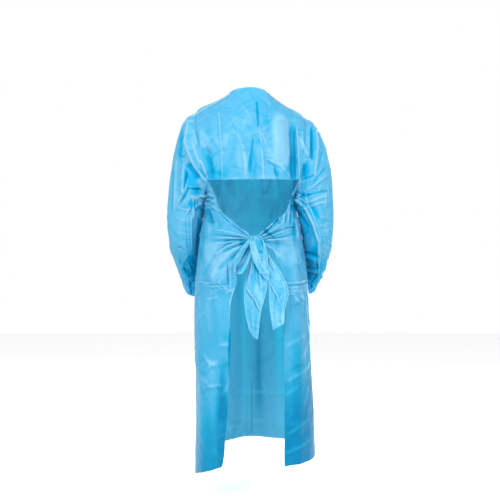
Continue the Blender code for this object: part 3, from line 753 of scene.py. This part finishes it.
# Painted shade in the left flap's hollows, at the knot and towards the hem, and painted light where
# the amount is below zero.
flap_left_shade_patches = table(
    PATCH,
    (-146, -430, 14, 46, 0.35, 25),
    (-165, -520, 12, 80, 0.45),
    (-20, -535, 18, 22, 0.8, 40),
    (-50, -578, 5, 46, 0.5, -31),
    (-78, -1190, 34, 230, 0.55, 4),
    (-66, -900, 7, 110, 0.8),
    (-110, -1300, 110, 260, 0.40),
    (-125, -560, 60, 40, -0.3, -30),
    (-100, -610, 50, 60, -0.2, -30),
)
flap_right_creases = table(
    CREASE,
    (23, -509, 90, -453, 3.8, 5.3, 0.8, 2),
    (27, -512, 110, -433, 3.4, -5.6, 0.9, 3),
    (27, -515, 116, -458, 4.5, 5.9, 0.7, 2),
    (30, -517, 116, -481, 3.8, -4.5, 0.8, 1),
    (33, -519, 159, -477, 4.5, 5, 0.7, -1, 0, 0.4),
    (37, -520, 163, -498, 3.8, -5, 0.8, 1, 0, 0.3),
    (37, -522, 173, -510, 5.2, 5.6, 0.6, 1, 0, 0.5),
    (40, -525, 166, -536, 6, -3.3, 0.4, 3, 0, 0.6),
    (46, -526, 143, -599, 10, 5.4, 0.3, 7, 0, 0.5),
    (101, -427, 95, -462, 2.6, 4.7, 0.9),
    (110, -417, 103, -458, 2.6, -5, 0.9),
    (118, -407, 111, -467, 3, 6.4, 0.9),
    (125, -417, 120, -463, 2.6, -4.5, 0.9),
    (133, -397, 130, -457, 3.8, 3.6, 0.6),
    (143, -390, 138, -477, 5.2, -4.7, 0.5),
    (83, -457, 98, -475, 2.6, 3.3, 0.8),
    (80, -494, 100, -485, 2.6, -2.8, 0.9),
    (113, -481, 159, -473, 3, -3.6, 0.9),
    (113, -502, 156, -497, 3, -3.3, 0.9),
    (153, -437, 166, -520, 6, 3.3, 0.5),
    (151, -540, 155, -836, 16, 1.8, 0.15),
    (128, -520, 128, -658, 14, -1.2, 0.15),
    (184, -593, 188, -816, 12, -1.3, 0.2),
    (115, -663, 207, -657, 4, 3.4, 0.7, 2),
    (122, -672, 201, -667, 4, -3.4, 0.7),
    (119, -681, 207, -676, 4, 3.4, 0.7, -2),
    (122, -690, 198, -690, 4, 3.7, 0.7),
    (158, -657, 198, -673, 4, 3.1, 0.8),
    (148, -668, 194, -652, 4, 3.1, 0.8),
    (122, -700, 155, -695, 4, 3.1, 0.8),
    (145, -711, 171, -734, 5, 2.7, 0.7),
    (165, -703, 194, -728, 5, 2.7, 0.7),
    (148, -741, 181, -723, 5, -2.7, 0.7),
    (175, -740, 181, -1126, 20, 1.4, 0.15),
    (132, -718, 135, -1192, 12, 1.4, 0.2),
    (204, -704, 211, -1198, 12, -1.8, 0.2),
    (112, -876, 191, -838, 8, 2.3, 0.3),
    (115, -993, 211, -945, 8, 2.9, 0.3),
    (128, -958, 184, -932, 8, -2.3, 0.3),
    (112, -1037, 168, -1006, 8, 2.3, 0.3),
    (119, -1170, 204, -1121, 8, 3.1, 0.3),
    (115, -1203, 207, -1157, 8, -2.6, 0.3),
    (112, -1231, 211, -1195, 8, 3.4, 0.3),
    (165, -919, 194, -886, 8, 2.1, 0.3),
    (178, -1083, 198, -1007, 8, 2.3, 0.3),
)
# Painted shade in the right flap's hollows, at the knot and towards the hem, and painted light where
# the amount is below zero.
flap_right_shade_patches = table(
    PATCH,
    (42, -526, 18, 7, 0.7, 8),
    (62, -500, 34, 5, 0.45, -38),
    (82, -450, 24, 14, 0.8, -40),
    (55, -492, 26, 10, 0.8, -35),
    (146, -400, 8, 50, 0.8, 10),
    (150, -490, 10, 50, 0.5),
    (206, -1150, 16, 260, 0.4),
    (165, -1260, 90, 330, 0.55),
    (165, -810, 60, 150, 0.14),
    (165, -1050, 90, 220, 0.20),
    (130, -560, 40, 60, -0.25),
)
# Puckers are bunched where the left sleeve, yoke and flap meet.
armpit_left_puckers = table(
    CREASE,
    (-201, -375, -160, -361, 4.5, 6, 0.8, 0, 0.2),
    (-164, -361, -120, -367, 4, 5, 0.8),
    (-190, -368, -158, -371, 4, -5, 0.7),
    (-198, -376, -186, -416, 4, 5, 0.8),
    (-188, -378, -172, -420, 5, -5, 0.7),
    (-150, -371, -119, -377, 3, -4.5, 0.8, 2),
    (-152, -377, -120, -388, 3.5, 4.5, 0.8, -2),
    (-154, -382, -124, -400, 3, -4.5, 0.8),
    (-158, -385, -130, -412, 3.5, 4.5, 0.8, 2),
    (-146, -386, -95, -431, 3.5, 4.5, 0.8, 0, 0, 0.3),
    (-150, -394, -112, -432, 4, -4, 0.7, 0, 0, 0.3),
    (-160, -392, -148, -436, 4, 4, 0.7, 0, 0, 0.3),
    (-162, -400, -140, -440, 5, -3.5, 0.6, 0, 0, 0.3),
)

HIP_FOLD = -0.685
HIP_FOLD_REACH = 0.065
ARMPIT_ACROSS = 0.165
ARMPIT_HEIGHT = -0.382
ARMPIT_SPREAD = 0.0010
KNOT_HEIGHT = -0.53


def at_hip_fold(points):
    """How crushed the film is: mostly along the packing fold that lies level with the hips."""
    return np.where(np.abs(points[:, 2] - HIP_FOLD) < HIP_FOLD_REACH, 0.9, 0.12)


def at_armpit(points):
    """How near a place is to the underarm, where the film is crushed."""
    across, down = np.abs(points[:, 0]) - ARMPIT_ACROSS, points[:, 2] - ARMPIT_HEIGHT
    return np.exp(-(across**2 + down**2) / ARMPIT_SPREAD)


LEFT_HEM = table(HEM, (-200, 15), (-165, 12), (-126, 4), (-100, -8), (-90, -14))
LEVEL_HEM = table(HEM, (0, 0))
# The flaps' painted shade reaches a duller blue.
DULL_BLUE = (0.015, 0.312, 0.500)
FLAP = "side seed creases hollows outwards loose crushed crush roll ruffle hem area"
flap_left = ("left", 30, flap_left_creases + armpit_left_puckers, flap_left_shade_patches, -1, 0.13)
flap_right = ("right", 40, flap_right_creases, flap_right_shade_patches, 1, 0.14)
flaps = {}
for each in table(
    FLAP,
    (*flap_left, 26, 0.0036, 0.004, 0.0006, LEFT_HEM, 0.24),
    (*flap_right, 16, 0.0026, 0.005, 0.0016, LEVEL_HEM, 0.22),
):

    def loose(place):
        return each["outwards"] * place.x < each["loose"]

    seed, roll, ruffle = each["seed"], each["roll"], each["ruffle"]
    flap = outer_face("back_flap_" + each["side"], "flap_" + each["side"] + "_film", 3)
    shape(
        flap,
        crease_lift(flap, each["creases"], "back")
        + held_at_seams(flap, loose)
        * (
            crumple_lift(flap, seed + 1, 120, 0.08, 0.014, 0.0014)
            + crumple_lift(flap, seed + 2, 80, 0.035, 0.006, 0.0016, at_hip_fold)
            + crumple_lift(flap, seed + 3, each["crushed"], 0.030, 0.005, each["crush"], at_armpit)
        )
        + rolled_lift(flap, lambda p: loose(p) and p.z > KNOT_HEIGHT, roll, 0.0026, ruffle)
        + rolled_lift(flap, lambda p: loose(p) and p.z < KNOT_HEIGHT, 0.003, 0.0016),
    )
    deepened(flap, each["hollows"])
    closed_up(flap, [front])
    hem_cut(flap, each["hem"])
    walled(flap)
    finish = film_finish(flap.name, tone=0.61, gloss=0.08, strong=DULL_BLUE)
    flap.data.materials.append(finish)
    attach(flap, "root")
    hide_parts("back_flap_" + each["side"])
    flaps[each["side"]] = flap

# Sleeves. Each is one width of film folded over and sealed into a tube, joined to the body
# round the armhole and left plain at the cuff. The hanging arm buckles the tube at the
# underarm and at the elbow.
sleeve_left_creases = armpit_left_puckers + table(
    CREASE,
    (-256, -440, -214, -452, 3.8, 1.9, 0.8, 2),
    (-246, -464, -208, -468, 3, -2, 0.9),
    (-232, -478, -206, -483, 3, 1.7, 0.9),
    (-254, -494, -212, -500, 3.8, 2, 0.8, -2),
    (-240, -513, -206, -517, 3, -1.9, 0.9),
    (-247, -526, -216, -534, 3, 1.4, 0.9),
    (-251, -539, -220, -553, 3, -3.4, 0.9),
    (-203, -422, -208, -560, 3.8, 4.1, 0.8),
    (-220, -440, -218, -563, 3.8, -2.5, 0.7),
    (-179, -426, -196, -574, 5.2, -4.7, 0.5),
    (-158, -388, -179, -491, 3.8, 4.1, 0.7),
    (-217, -557, -240, -602, 4.5, 5.2, 0.8),
    (-222, -574, -183, -557, 4.5, -3.7, 0.6),
    (-236, -606, -220, -652, 3.8, -4.9, 0.8),
    (-222, -592, -208, -631, 3.8, 4.2, 0.8),
    (-208, -599, -187, -616, 3.8, 3.7, 0.8),
    (-224, -660, -188, -638, 3.8, 5.4, 0.9),
    (-218, -676, -187, -655, 4.5, -3.9, 0.6),
    (-225, -616, -220, -704, 3.8, 3.7, 0.8),
    (-213, -666, -215, -722, 3.8, -4.2, 0.8),
    (-197, -673, -204, -722, 3.8, 3.2, 0.8),
    (-261, -574, -240, -631, 6.8, 2.5, 0.4),
)
sleeve_right_creases = table(
    CREASE,
    (141, -367, 175, -381, 4.5, 6.5, 0.8),
    (168, -378, 199, -412, 4.5, 6.5, 0.8),
    (192, -402, 220, -467, 5.2, 7.2, 0.8),
    (215, -450, 240, -529, 5.2, 7.2, 0.8),
    (238, -512, 244, -649, 5.2, 7.2, 0.8),
    (160, -419, 192, -440, 4.5, -5, 0.7),
    (172, -409, 206, -477, 6, -4.7, 0.5),
    (234, -441, 268, -436, 3.8, 1.9, 0.8, 2),
    (240, -459, 288, -449, 3, -1.7, 0.9),
    (237, -470, 262, -466, 3, 1.4, 0.9),
    (242, -489, 287, -476, 3.8, 1.9, 0.8, 2),
    (244, -512, 270, -505, 3, -1.9, 0.9),
    (252, -520, 286, -526, 3, 1.2, 0.9),
    (244, -536, 276, -546, 3.8, 1.7, 0.8, -2),
    (247, -556, 270, -570, 3.8, 2.2, 0.7),
    (190, -551, 247, -569, 4.5, -6.1, 0.9),
    (190, -565, 243, -583, 5.2, 4.9, 0.7),
    (197, -616, 247, -633, 4.5, 5.7, 0.9),
    (201, -631, 243, -646, 4.5, -4.9, 0.7),
    (218, -581, 254, -595, 4.5, 3.7, 0.7),
    (225, -595, 254, -627, 3.8, -4.2, 0.8),
    (250, -616, 262, -666, 4.5, 4.9, 0.8),
    (204, -655, 240, -694, 4.5, 4.9, 0.8),
    (215, -676, 236, -645, 3.8, -3.7, 0.8),
)
# Painted shade in the left sleeve's hollows.
sleeve_left_shade_patches = table(
    PATCH,
    (-200, -322, 22, 44, 0.45, 35),
    (-186, -352, 24, 16, 0.40, 20),
    (-240, -200, 8, 70, 0.30),
    (-200, -395, 14, 18, 0.6),
    (-212, -616, 30, 56, 0.50, 10),
    (-200, -540, 8, 90, 0.25),
    (-215, -690, 14, 30, 0.4),
)
# Painted shade in the right sleeve's hollows.
sleeve_right_shade_patches = table(
    PATCH,
    (192, -280, 12, 34, 0.6, -5),
    (212, -190, 10, 60, 0.35),
    (222, -590, 30, 50, 0.35),
    (226, -650, 26, 40, 0.45),
    (190, -365, 20, 10, 0.5, 10),
)


# Each tube swells towards the body below the armhole, where it is in shade.
swell_left = table(CREASE, (-30, -325, 20, -640, 60, 10.2, 0.1))
swell_right = table(CREASE, (-30, -325, 20, -640, 60, 12.4, 0.1), (-9, -405, -9, -445, 26, 2, 0.1))
SHADED_BELOW = -0.35
CRUSHED_BELOW = -0.56
FOREARM_BELOW = -0.55
FOREARM_DEEPER = 0.28


def at_forearm(points):
    return np.where(points[:, 2] < CRUSHED_BELOW, 0.9, 0.12)


# The sleeves' painted shade reaches a more vivid blue.
VIVID_BLUE = (0.000, 0.365, 0.650)
sleeves = {}
for side, seed, creases, hollows, swell, body_side, inwards, shaded in (
    ("left", 50, sleeve_left_creases, sleeve_left_shade_patches, swell_left, "right", 1, 0.12),
    ("right", 60, sleeve_right_creases, sleeve_right_shade_patches, swell_right, "left", -1, 0.34),
):
    sleeve = outer_face("sleeve_" + side, "sleeve_" + side + "_film", 3)
    shape(
        sleeve,
        crease_lift(sleeve, shoulder_creases, "back")
        + crease_lift(sleeve, creases, "back")
        + held_at_seams(sleeve, lambda place: place.z < -0.5)
        * (
            crumple_lift(sleeve, seed + 1, 130, 0.08, 0.013, 0.0018)
            + crumple_lift(sleeve, seed + 2, 150, 0.035, 0.005, 0.0026, at_forearm)
            + crumple_lift(sleeve, seed + 3, 34, 0.034, 0.006, 0.0046, at_armpit)
        ),
        crease_lift(sleeve, swell, body_side),
    )
    # Painted shade on the side of each tube that faces the body, below the armhole, and a deeper blue
    # on the forearm.
    height = points_of(sleeve)[:, 2]
    inner = eased((inwards * normals_of(sleeve)[:, 0] + 0.02) / 0.3)
    inner = inner * eased((SHADED_BELOW - height) / 0.06)
    forearm = eased((FOREARM_BELOW - height) / 0.05)
    deepened(sleeve, hollows, more=shaded * inner + FOREARM_DEEPER * forearm)
    closed_up(sleeve, [front, yoke, flaps["left"], flaps["right"]], most=0.0135)
    walled(sleeve)
    # The sleeves' film is painted a little paler than the body's, as painted light.
    finish = film_finish(sleeve.name, tone=0.66, gloss=0.07, strong=VIVID_BLUE)
    sleeve.data.materials.append(finish)
    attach(sleeve, "root")
    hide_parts("sleeve_" + side)
    sleeves[side] = sleeve

# Sealed shoulders. The doubled edges of yoke and front are pressed together into a narrow
# cloudy strip, which lies flat on the back from the neck to the tip of each shoulder.
SEAL = "x z width"
shoulder_left = table(
    SEAL,
    (-64, -14, 8),
    (-84, -22, 15),
    (-110, -36, 17),
    (-138, -50, 17),
    (-166, -66, 16),
    (-190, -82, 15),
    (-207, -96, 10),
)
shoulder_right = table(
    SEAL,
    (74, -20, 8),
    (92, -31, 10),
    (120, -49, 11),
    (150, -69, 11),
    (178, -87, 10),
    (198, -103, 8),
)
underarm = table(
    SEAL,
    (160, -366, 3),
    (190, -388, 5),
    (209, -416, 6),
    (224, -454, 6),
    (238, -492, 6),
    (245, -530, 6),
    (245, -578, 5),
    (244, -612, 3),
)


def face_trees(pieces):
    graph = bpy.context.evaluated_depsgraph_get()
    return [BVHTree.FromObject(piece, graph) for piece in pieces]


SEAL_THICKNESS = 0.0005
SEAL_STEPS = 14
SEAL_ACROSS = 7
# The strip lies this far off the film at its edges, and this much more along its middle.
SEAL_LIFT = 0.0004
SEAL_CROWN = 0.0003
# The film is looked for from here, behind the gown.
BEHIND = -0.5


def seal(name, rows, trees):
    """A narrow strip of sealed film that lies on whatever is behind it."""
    levels = np.arange(len(rows), dtype=float)
    wanted = np.linspace(0, len(rows) - 1, SEAL_STEPS * (len(rows) - 1) + 1)
    middle_x, middle_z, width = (
        np.interp(wanted, levels, column(rows, part) / 1000) for part in SEAL.split()
    )
    strip = bmesh.new()
    lines = []
    for x, z, wide in zip(middle_x, middle_z, width):
        pucker = 1 + 0.10 * math.sin(900 * x) + 0.07 * math.sin(1460 * z)
        line = []
        for share in np.linspace(-0.5, 0.5, SEAL_ACROSS):
            aside = share * wide * pucker
            start = Vector((x + 0.4 * share * wide * pucker, BEHIND, z + aside))
            hits = [tree.ray_cast(start, Vector((0, 1, 0)))[:2] for tree in trees]
            hits = [(place.y, place, normal) for place, normal in hits if place is not None]
            if not hits:
                continue
            _, place, normal = min(hits)
            normal = normal if normal.y < 0 else -normal
            proud = SEAL_LIFT + SEAL_CROWN * (1 - abs(2 * share))
            line.append(strip.verts.new(place + normal * proud))
        if len(line) == SEAL_ACROSS:
            lines.append(line)
    for line, following in zip(lines, lines[1:]):
        for one in range(SEAL_ACROSS - 1):
            strip.faces.new((line[one], line[one + 1], following[one + 1], following[one]))
    bmesh.ops.recalc_face_normals(strip, faces=strip.faces)
    if sum(face.normal.y for face in strip.faces) > 0:
        bmesh.ops.reverse_faces(strip, faces=strip.faces)
    piece = as_piece(strip, name)
    worked(piece, "SOLIDIFY", thickness=SEAL_THICKNESS, offset=1)
    return piece


seal_finish = film_finish("seal_film", tone=0.74, light_through=0.2, crumple=0.6)
body_trees = face_trees([yoke, *flaps.values(), *sleeves.values()])
for name, rows, slot, under, flat, area in (
    ("shoulder_seal_left", shoulder_left, "yoke_film", "yoke_film", (0.025, 0.18), 0.0042),
    ("shoulder_seal_right", shoulder_right, "yoke_film", "yoke_film", (0.012, 0.15), 0.0017),
    ("underarm_seal_right", underarm, "sleeve_film", "sleeve_right_film", (0.010, 0.28), 0.0018),
):
    strip = seal(name, rows, body_trees)
    strip.data.materials.append(seal_finish)
    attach(strip, "root")

# Ties. The drawn-out upper corners of the flaps, as flat strips of film that narrow into
# the knot. One is doubled back through it as a half bow, and the others hang free, each
# with its packing creases and a slanted cut end.
TIE = "x y z width turn swing fold"
FRONT_TAIL = table(
    TIE,
    (18, -13.3, -505, 26, 10),
    (22, -13.6, -528, 46, 14, 0, 1),
    (29, -17, -558, 51, 16, 0, 4),
    (37, -19, -591, 44, 18, 0, 4),
    (47.5, -18, -622, 29, 20, 0, 2),
    (60, -16, -653, 7, 22),
)
LEFT_TAIL = table(
    TIE,
    (16.5, 0, -536, 12),
    (18.5, -1, -575, 26, 4, 8, 4),
    (18.5, -3, -622, 54, 6, 10, 7),
    (19.5, -6, -668, 76, 5, 8, 9),
    (15, -8, -707, 69, 2, 6, 8),
    (10.5, -9, -746, 55, -2, 4, 6),
    (10.5, -9, -783, 43, -4, 2, 4),
    (13.5, -9, -819, 30, -10, 0, 3),
    (20.5, -9, -846, 10, -30),
)
RIGHT_TAIL = table(
    TIE,
    (28, 0, -531, 12, 45),
    (52, -5, -577, 24, 24, -6, 3),
    (69, -7, -611, 36, 25, -8, 4),
    (82, -9, -638, 48, 20, -8, 4),
    (91.5, -11, -668, 58, 8, -6, 4),
    (95, -12, -697, 64, 0, -4, 5),
    (92, -12, -728, 56, 0, -2, 5),
    (90.5, -12, -762, 46, 8, 0, 4),
    (94, -12, -806, 42, 32, 0, 2),
)
BOW_LOOP = table(
    TIE,
    (1, -6, -519, 10, -50, 40),
    (-18, -12, -546, 28, -42, 55),
    (-37, -15, -577, 40, -42, 58),
    (-52, -16, -603, 42, -44, 54),
    (-52, -20, -620, 41, -44, 44),
    (-37, -22, -616, 40, -42, 34),
    (-20, -18, -591, 34, -40, 32),
    (-6, -8, -562, 22, -40, 30),
    (5, 0, -531, 10, -45, 10),
)
# Pleats run along a tie between two shares of its length, at one share of its width at
# their start and another at their end. They stand proud, or sink below zero.
PLEAT = "from_along to_along from_across to_across width height"
FRONT_TAIL_PLEATS = table(
    PLEAT,
    (-0.10, 0.45, 0.62, 0.80, 0.10, 1.8),
    (-0.10, 0.38, 0.80, 0.62, 0.07, -2.0),
    (-0.10, 0.60, 0.35, 0.22, 0.09, 1.4),
    (0.05, 0.80, 0.50, 0.55, 0.08, -1.4),
    (0.10, 0.95, 0.25, 0.62, 0.10, 1.6),
    (-0.10, 0.25, 0.18, 0.28, 0.08, -1.4),
    (0.20, 0.70, 0.88, 0.50, 0.07, -1.2),
    (-0.10, 0.22, 0.50, 0.48, 0.06, 1.2),
    (0.16, 0.24, 0.55, 0.92, 0.05, -1.6),
    (0.28, 0.36, 0.50, 0.95, 0.05, -1.2),
    (0.55, 0.95, 0.80, 0.70, 0.08, 1.1),
)
LEFT_TAIL_PLEATS = table(
    PLEAT,
    (-0.05, 0.42, 0.30, 0.12, 0.10, 2.4),
    (-0.05, 0.36, 0.52, 0.42, 0.07, -2.2),
    (-0.05, 0.50, 0.70, 0.72, 0.09, 2.4),
    (-0.05, 0.30, 0.84, 0.90, 0.05, -1.6),
    (0.20, 0.50, 0.60, 0.72, 0.06, -1.6),
    (0.38, 0.66, 0.02, 0.98, 0.07, 2.6),
    (0.41, 0.69, 0.02, 0.98, 0.05, -1.8),
    (0.35, 0.60, 0.55, 0.40, 0.05, 1.2),
    (0.60, 1.05, 0.50, 0.40, 0.08, 1.4),
    (0.66, 0.98, 0.76, 0.58, 0.06, -1.0),
    (0.62, 0.90, 0.24, 0.30, 0.06, -0.9),
)
RIGHT_TAIL_PLEATS = table(
    PLEAT,
    (-0.05, 0.36, 0.35, 0.20, 0.10, 2.0),
    (-0.05, 0.42, 0.62, 0.52, 0.08, -2.0),
    (-0.05, 0.40, 0.85, 0.80, 0.07, 1.6),
    (0.20, 0.28, 0.05, 0.95, 0.04, 1.6),
    (0.24, 0.32, 0.05, 0.95, 0.03, -1.2),
    (0.45, 0.78, 0.05, 0.62, 0.08, 2.2),
    (0.50, 0.84, 0.04, 0.70, 0.05, -1.2),
    (0.40, 0.95, 0.80, 0.86, 0.08, 1.4),
    (0.60, 1.05, 0.35, 0.22, 0.07, -1.0),
)
BOW_LOOP_PLEATS = table(
    PLEAT,
    (-0.05, 0.42, 0.30, 0.35, 0.14, 1.6),
    (-0.05, 0.30, 0.65, 0.72, 0.08, -1.4),
    (0.10, 0.45, 0.80, 0.60, 0.06, 1.2),
    (0.40, 0.60, 0.20, 0.30, 0.10, -1.4),
    (0.42, 0.58, 0.70, 0.60, 0.10, 1.4),
    (0.55, 1.05, 0.40, 0.50, 0.10, 2.0),
    (0.60, 1.05, 0.72, 0.62, 0.07, -1.8),
    (0.58, 1.05, 0.16, 0.34, 0.07, -1.6),
)
TIE_STEPS = 14
TIE_ACROSS = 34
PLEAT_STRENGTH = 2.3
EDGE_BEAD = 0.0012
# The knot's film, and the ties' ends beside it, lie just inside the knot's own form.
INSIDE_KNOT = 0.98
knot_low, knot_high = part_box("tie_knot")
knot_middle = (np.array(knot_low) + np.array(knot_high)) / 2
knot_half = (np.array(knot_high) - np.array(knot_low)) / 2


# How rounded the film's turns are: 1 is fully rounded and 0 is a run of flat stretches.
SOFTNESS = 0.45


def smooth_through(values, at):
    """A curve through the values, at places counted in rows."""
    slopes = np.gradient(values) * SOFTNESS
    below = np.clip(np.floor(at).astype(int), 0, len(values) - 2)
    share = at - below
    square, cube = share**2, share**3
    curve = (2 * cube - 3 * square + 1) * values[below]
    curve += (cube - 2 * square + share) * slopes[below]
    curve += (3 * square - 2 * cube) * values[below + 1]
    return curve + (cube - square) * slopes[below + 1]


def tie_film(name, rows, ends, pleats, seed, patches):
    """A strip of film through its sections, with its pleats. An end that is given as an angle
    is seated beside the knot there."""
    sections = {part: column(rows, part) for part in TIE.split()}
    for row, angle in zip((0, -1), ends):
        if angle is not None:
            seat = math.radians(angle)
            sections["x"][row] = 1000 * (knot_middle[0] + math.cos(seat) * knot_half[0] * INSIDE_KNOT)
            sections["z"][row] = 1000 * (knot_middle[2] + math.sin(seat) * knot_half[2] * INSIDE_KNOT)
    steps = TIE_STEPS * (len(rows) - 1) + 1
    wanted = np.linspace(0, len(rows) - 1, steps)
    at = {part: smooth_through(values, wanted) for part, values in sections.items()}
    turn, swing = np.radians(at["turn"]), np.radians(at["swing"])
    middle = np.stack([at["x"], at["y"], at["z"]], axis=1) / 1000 + (0, knot_middle[1], 0)
    sideways = np.stack(
        [np.cos(turn) * np.cos(swing), -np.sin(swing), np.sin(turn) * np.cos(swing)], axis=1
    )
    across = np.linspace(0, 1, TIE_ACROSS)
    width = np.maximum(at["width"], 2)[:, None] / 1000
    grid = middle[:, None] + ((across - 0.5) * width)[..., None] * sideways[:, None]
    grid[..., 1] -= at["fold"][:, None] / 1000 * (1 - (2 * across - 1) ** 2)
    strip = bmesh.new()
    points = [[strip.verts.new(point) for point in line] for line in grid]
    for line, following in zip(points, points[1:]):
        for one in range(TIE_ACROSS - 1):
            strip.faces.new((line[one], following[one], following[one + 1], line[one + 1]))
    if sum(face.normal.y for face in strip.faces) > 0:
        bmesh.ops.reverse_faces(strip, faces=strip.faces)
    piece = as_piece(strip, name)
    along = np.repeat(np.linspace(0, 1, steps), TIE_ACROSS)
    over = np.tile(across, steps)
    lift = np.zeros(len(along))
    for pleat in pleats:
        length = pleat["to_along"] - pleat["from_along"]
        share = (along - pleat["from_along"]) / length
        line = pleat["from_across"] + (pleat["to_across"] - pleat["from_across"]) * share
        off = np.maximum(0, 1 - np.abs(over - line) / pleat["width"])
        fade = eased(share / 0.15) * eased((1 - share) / 0.35)
        lift += pleat["height"] / 1000 * off * fade
    wide = np.repeat(width[:, 0], TIE_ACROSS)
    narrow = np.clip(wide / 0.040, 0.25, 1)
    edge = np.minimum(over, 1 - over) * wide
    lift = PLEAT_STRENGTH * lift * narrow + EDGE_BEAD * np.exp(-((edge / 0.0016) ** 2))
    # Painted highlight: the film is painted paler along the tie's edges.
    deepened(piece, patches, both_ways=True, more=-0.4 * np.exp(-((edge / 0.0022) ** 2)))
    shape(piece, lift + crumple_lift(piece, seed, 60, 0.035, 0.006, 0.0014))
    walled(piece, 0)
    return piece


tie_finish = film_finish("tie_film", tone=0.64, light_through=0.25, gloss=0.06)
# Painted shade inside the bow loop, and painted light on its lower part where the amount is below
# zero.
loop_shade_patches = table(PATCH, (-14, -555, 9, 27, 0.3, -33), (-28, -592, 7, 20, -0.3, -33))
# Painted shade in the tails' hollows and folds, and painted light where the amount is below zero.
front_tail_shade_patches = table(
    PATCH,
    (37, -545, 8, 22, 0.25, 10),
    (38, -528, 5, 20, 0.6, 15),
    (35, -558, 3, 10, 0.5, 60),
    (16, -560, 9, 50, -0.35, 12),
    (40, -590, 10, 40, -0.3, 24),
)
left_tail_shade_patches = table(
    PATCH,
    (27, -621, 8, 42, 0.6, 32),
    (8, -640, 16, 40, 0.12, 10),
    (30, -700, 12, 44, -0.35, 20),
    (12, -716, 4, 60, -0.3, 35),
)
right_tail_shade_patches = table(
    PATCH,
    (59, -603, 3, 16, 0.7),
    (88, -640, 14, 20, -0.3, 30),
    (72, -610, 14, 22, -0.2, 20),
    (82, -770, 14, 60, -0.25, 14),
    (107, -775, 6, 26, -0.5),
)
for name, rows, ends, pleats, seed, patches, flat in (
    ("bow_loop", BOW_LOOP, (-180, -135), BOW_LOOP_PLEATS, 71, loop_shade_patches, (0.04, 0.21)),
    ("front_tail", FRONT_TAIL, (None, None), FRONT_TAIL_PLEATS, 72, front_tail_shade_patches, (0.05, 0.15)),
    ("left_tail", LEFT_TAIL, (-90, None), LEFT_TAIL_PLEATS, 73, left_tail_shade_patches, (0.06, 0.32)),
    ("right_tail", RIGHT_TAIL, (-45, None), RIGHT_TAIL_PLEATS, 74, right_tail_shade_patches, (0.05, 0.30)),
):
    tie = tie_film(name + "_film", rows, ends, pleats, seed, patches)
    tie.data.materials.append(tie_finish)
    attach(tie, "root")
    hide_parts("tie_" + name)

# Knot. The two ties crossed and pulled tight into a small flat knot of gathered film,
# whose pleats bend round it from the left tie to the right one.
bpy.ops.object.select_all(action="DESELECT")
bpy.ops.mesh.primitive_uv_sphere_add(segments=96, ring_count=48, radius=1)
knot = bpy.context.active_object
knot.name = "knot_film"
place = points_of(knot)
# Gathers run across the knot, coarse and fine ones, and it is drawn in at its four corners.
right_side_shade = eased((place[:, 0] - 0.05) / 0.4) * np.abs(np.sin(4 * place[:, 2] + 2 * place[:, 0]))
about = np.arctan2(place[:, 2], place[:, 0])
gathers = 0.10 * np.abs(np.sin(5 * place[:, 2] + 1.6 * place[:, 0])) ** 0.7
gathers += 0.05 * np.abs(np.sin(11 * place[:, 2] - 2.5 * place[:, 0] + 1))
waist = 0.12 * np.abs(np.sin(2 * about)) ** 2
place *= ((1.02 - gathers - waist)[:, None]) * knot_half * INSIDE_KNOT
place += knot_middle
move_to(knot, place)
# Painted highlight on the knot's full parts and painted shade in its gathers, with deeper painted
# shade in stripes across its right side.
mark(knot, "lift", 0.6 - 6 * gathers)
mark(knot, "deep", 0.1 + 0.7 * right_side_shade)
knot.data.shade_smooth()
knot.data.materials.append(film_finish("knot_film", light_through=0.15))
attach(knot, "root")
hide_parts("tie_knot")

# Floor and light. A plain pale studio floor, with a large soft light above the camera to
# the left, a weaker one to the right, one in front of the gown that shines through its film,
# and an even pale surround.
FLOOR_PLACE = (0, 0, -1.39)
LIGHTS_AIM = Vector((0, 0, -0.6))
bpy.ops.mesh.primitive_plane_add(size=12, location=FLOOR_PLACE)
floor = bpy.context.active_object
floor.name = "floor"
floor_paint = bpy.data.materials.new("floor_paint")
floor_paint.use_nodes = True
floor_paint.node_tree.nodes["Principled BSDF"].inputs["Base Color"].default_value = (0.9, 0.9, 0.9, 1)
floor_paint.node_tree.nodes["Principled BSDF"].inputs["Roughness"].default_value = 0.7
floor.data.materials.append(floor_paint)

LIGHTS = table(
    "name x y z size watts",
    ("key light", -1.5, -3.3, 2.1, 1.4, 125),
    ("fill light", 2.4, -3.2, 0.6, 2.0, 62),
    ("front light", 0.4, 3.6, -0.5, 2.5, 190),
)
for lamp in LIGHTS:
    light = bpy.data.lights.new(lamp["name"], "AREA")
    light.size = lamp["size"]
    light.energy = lamp["watts"]
    stand = bpy.data.objects.new(lamp["name"], light)
    stand.location = (lamp["x"], lamp["y"], lamp["z"])
    stand.rotation_euler = (LIGHTS_AIM - stand.location).to_track_quat("-Z", "Y").to_euler()
    bpy.context.scene.collection.objects.link(stand)
surround = bpy.data.worlds.new("surround")
surround.use_nodes = True
surround.node_tree.nodes["Background"].inputs["Color"].default_value = (1, 1, 1, 1)
surround.node_tree.nodes["Background"].inputs["Strength"].default_value = 1.0
bpy.context.scene.world = surround
bpy.context.scene.view_settings.view_transform = "Standard"
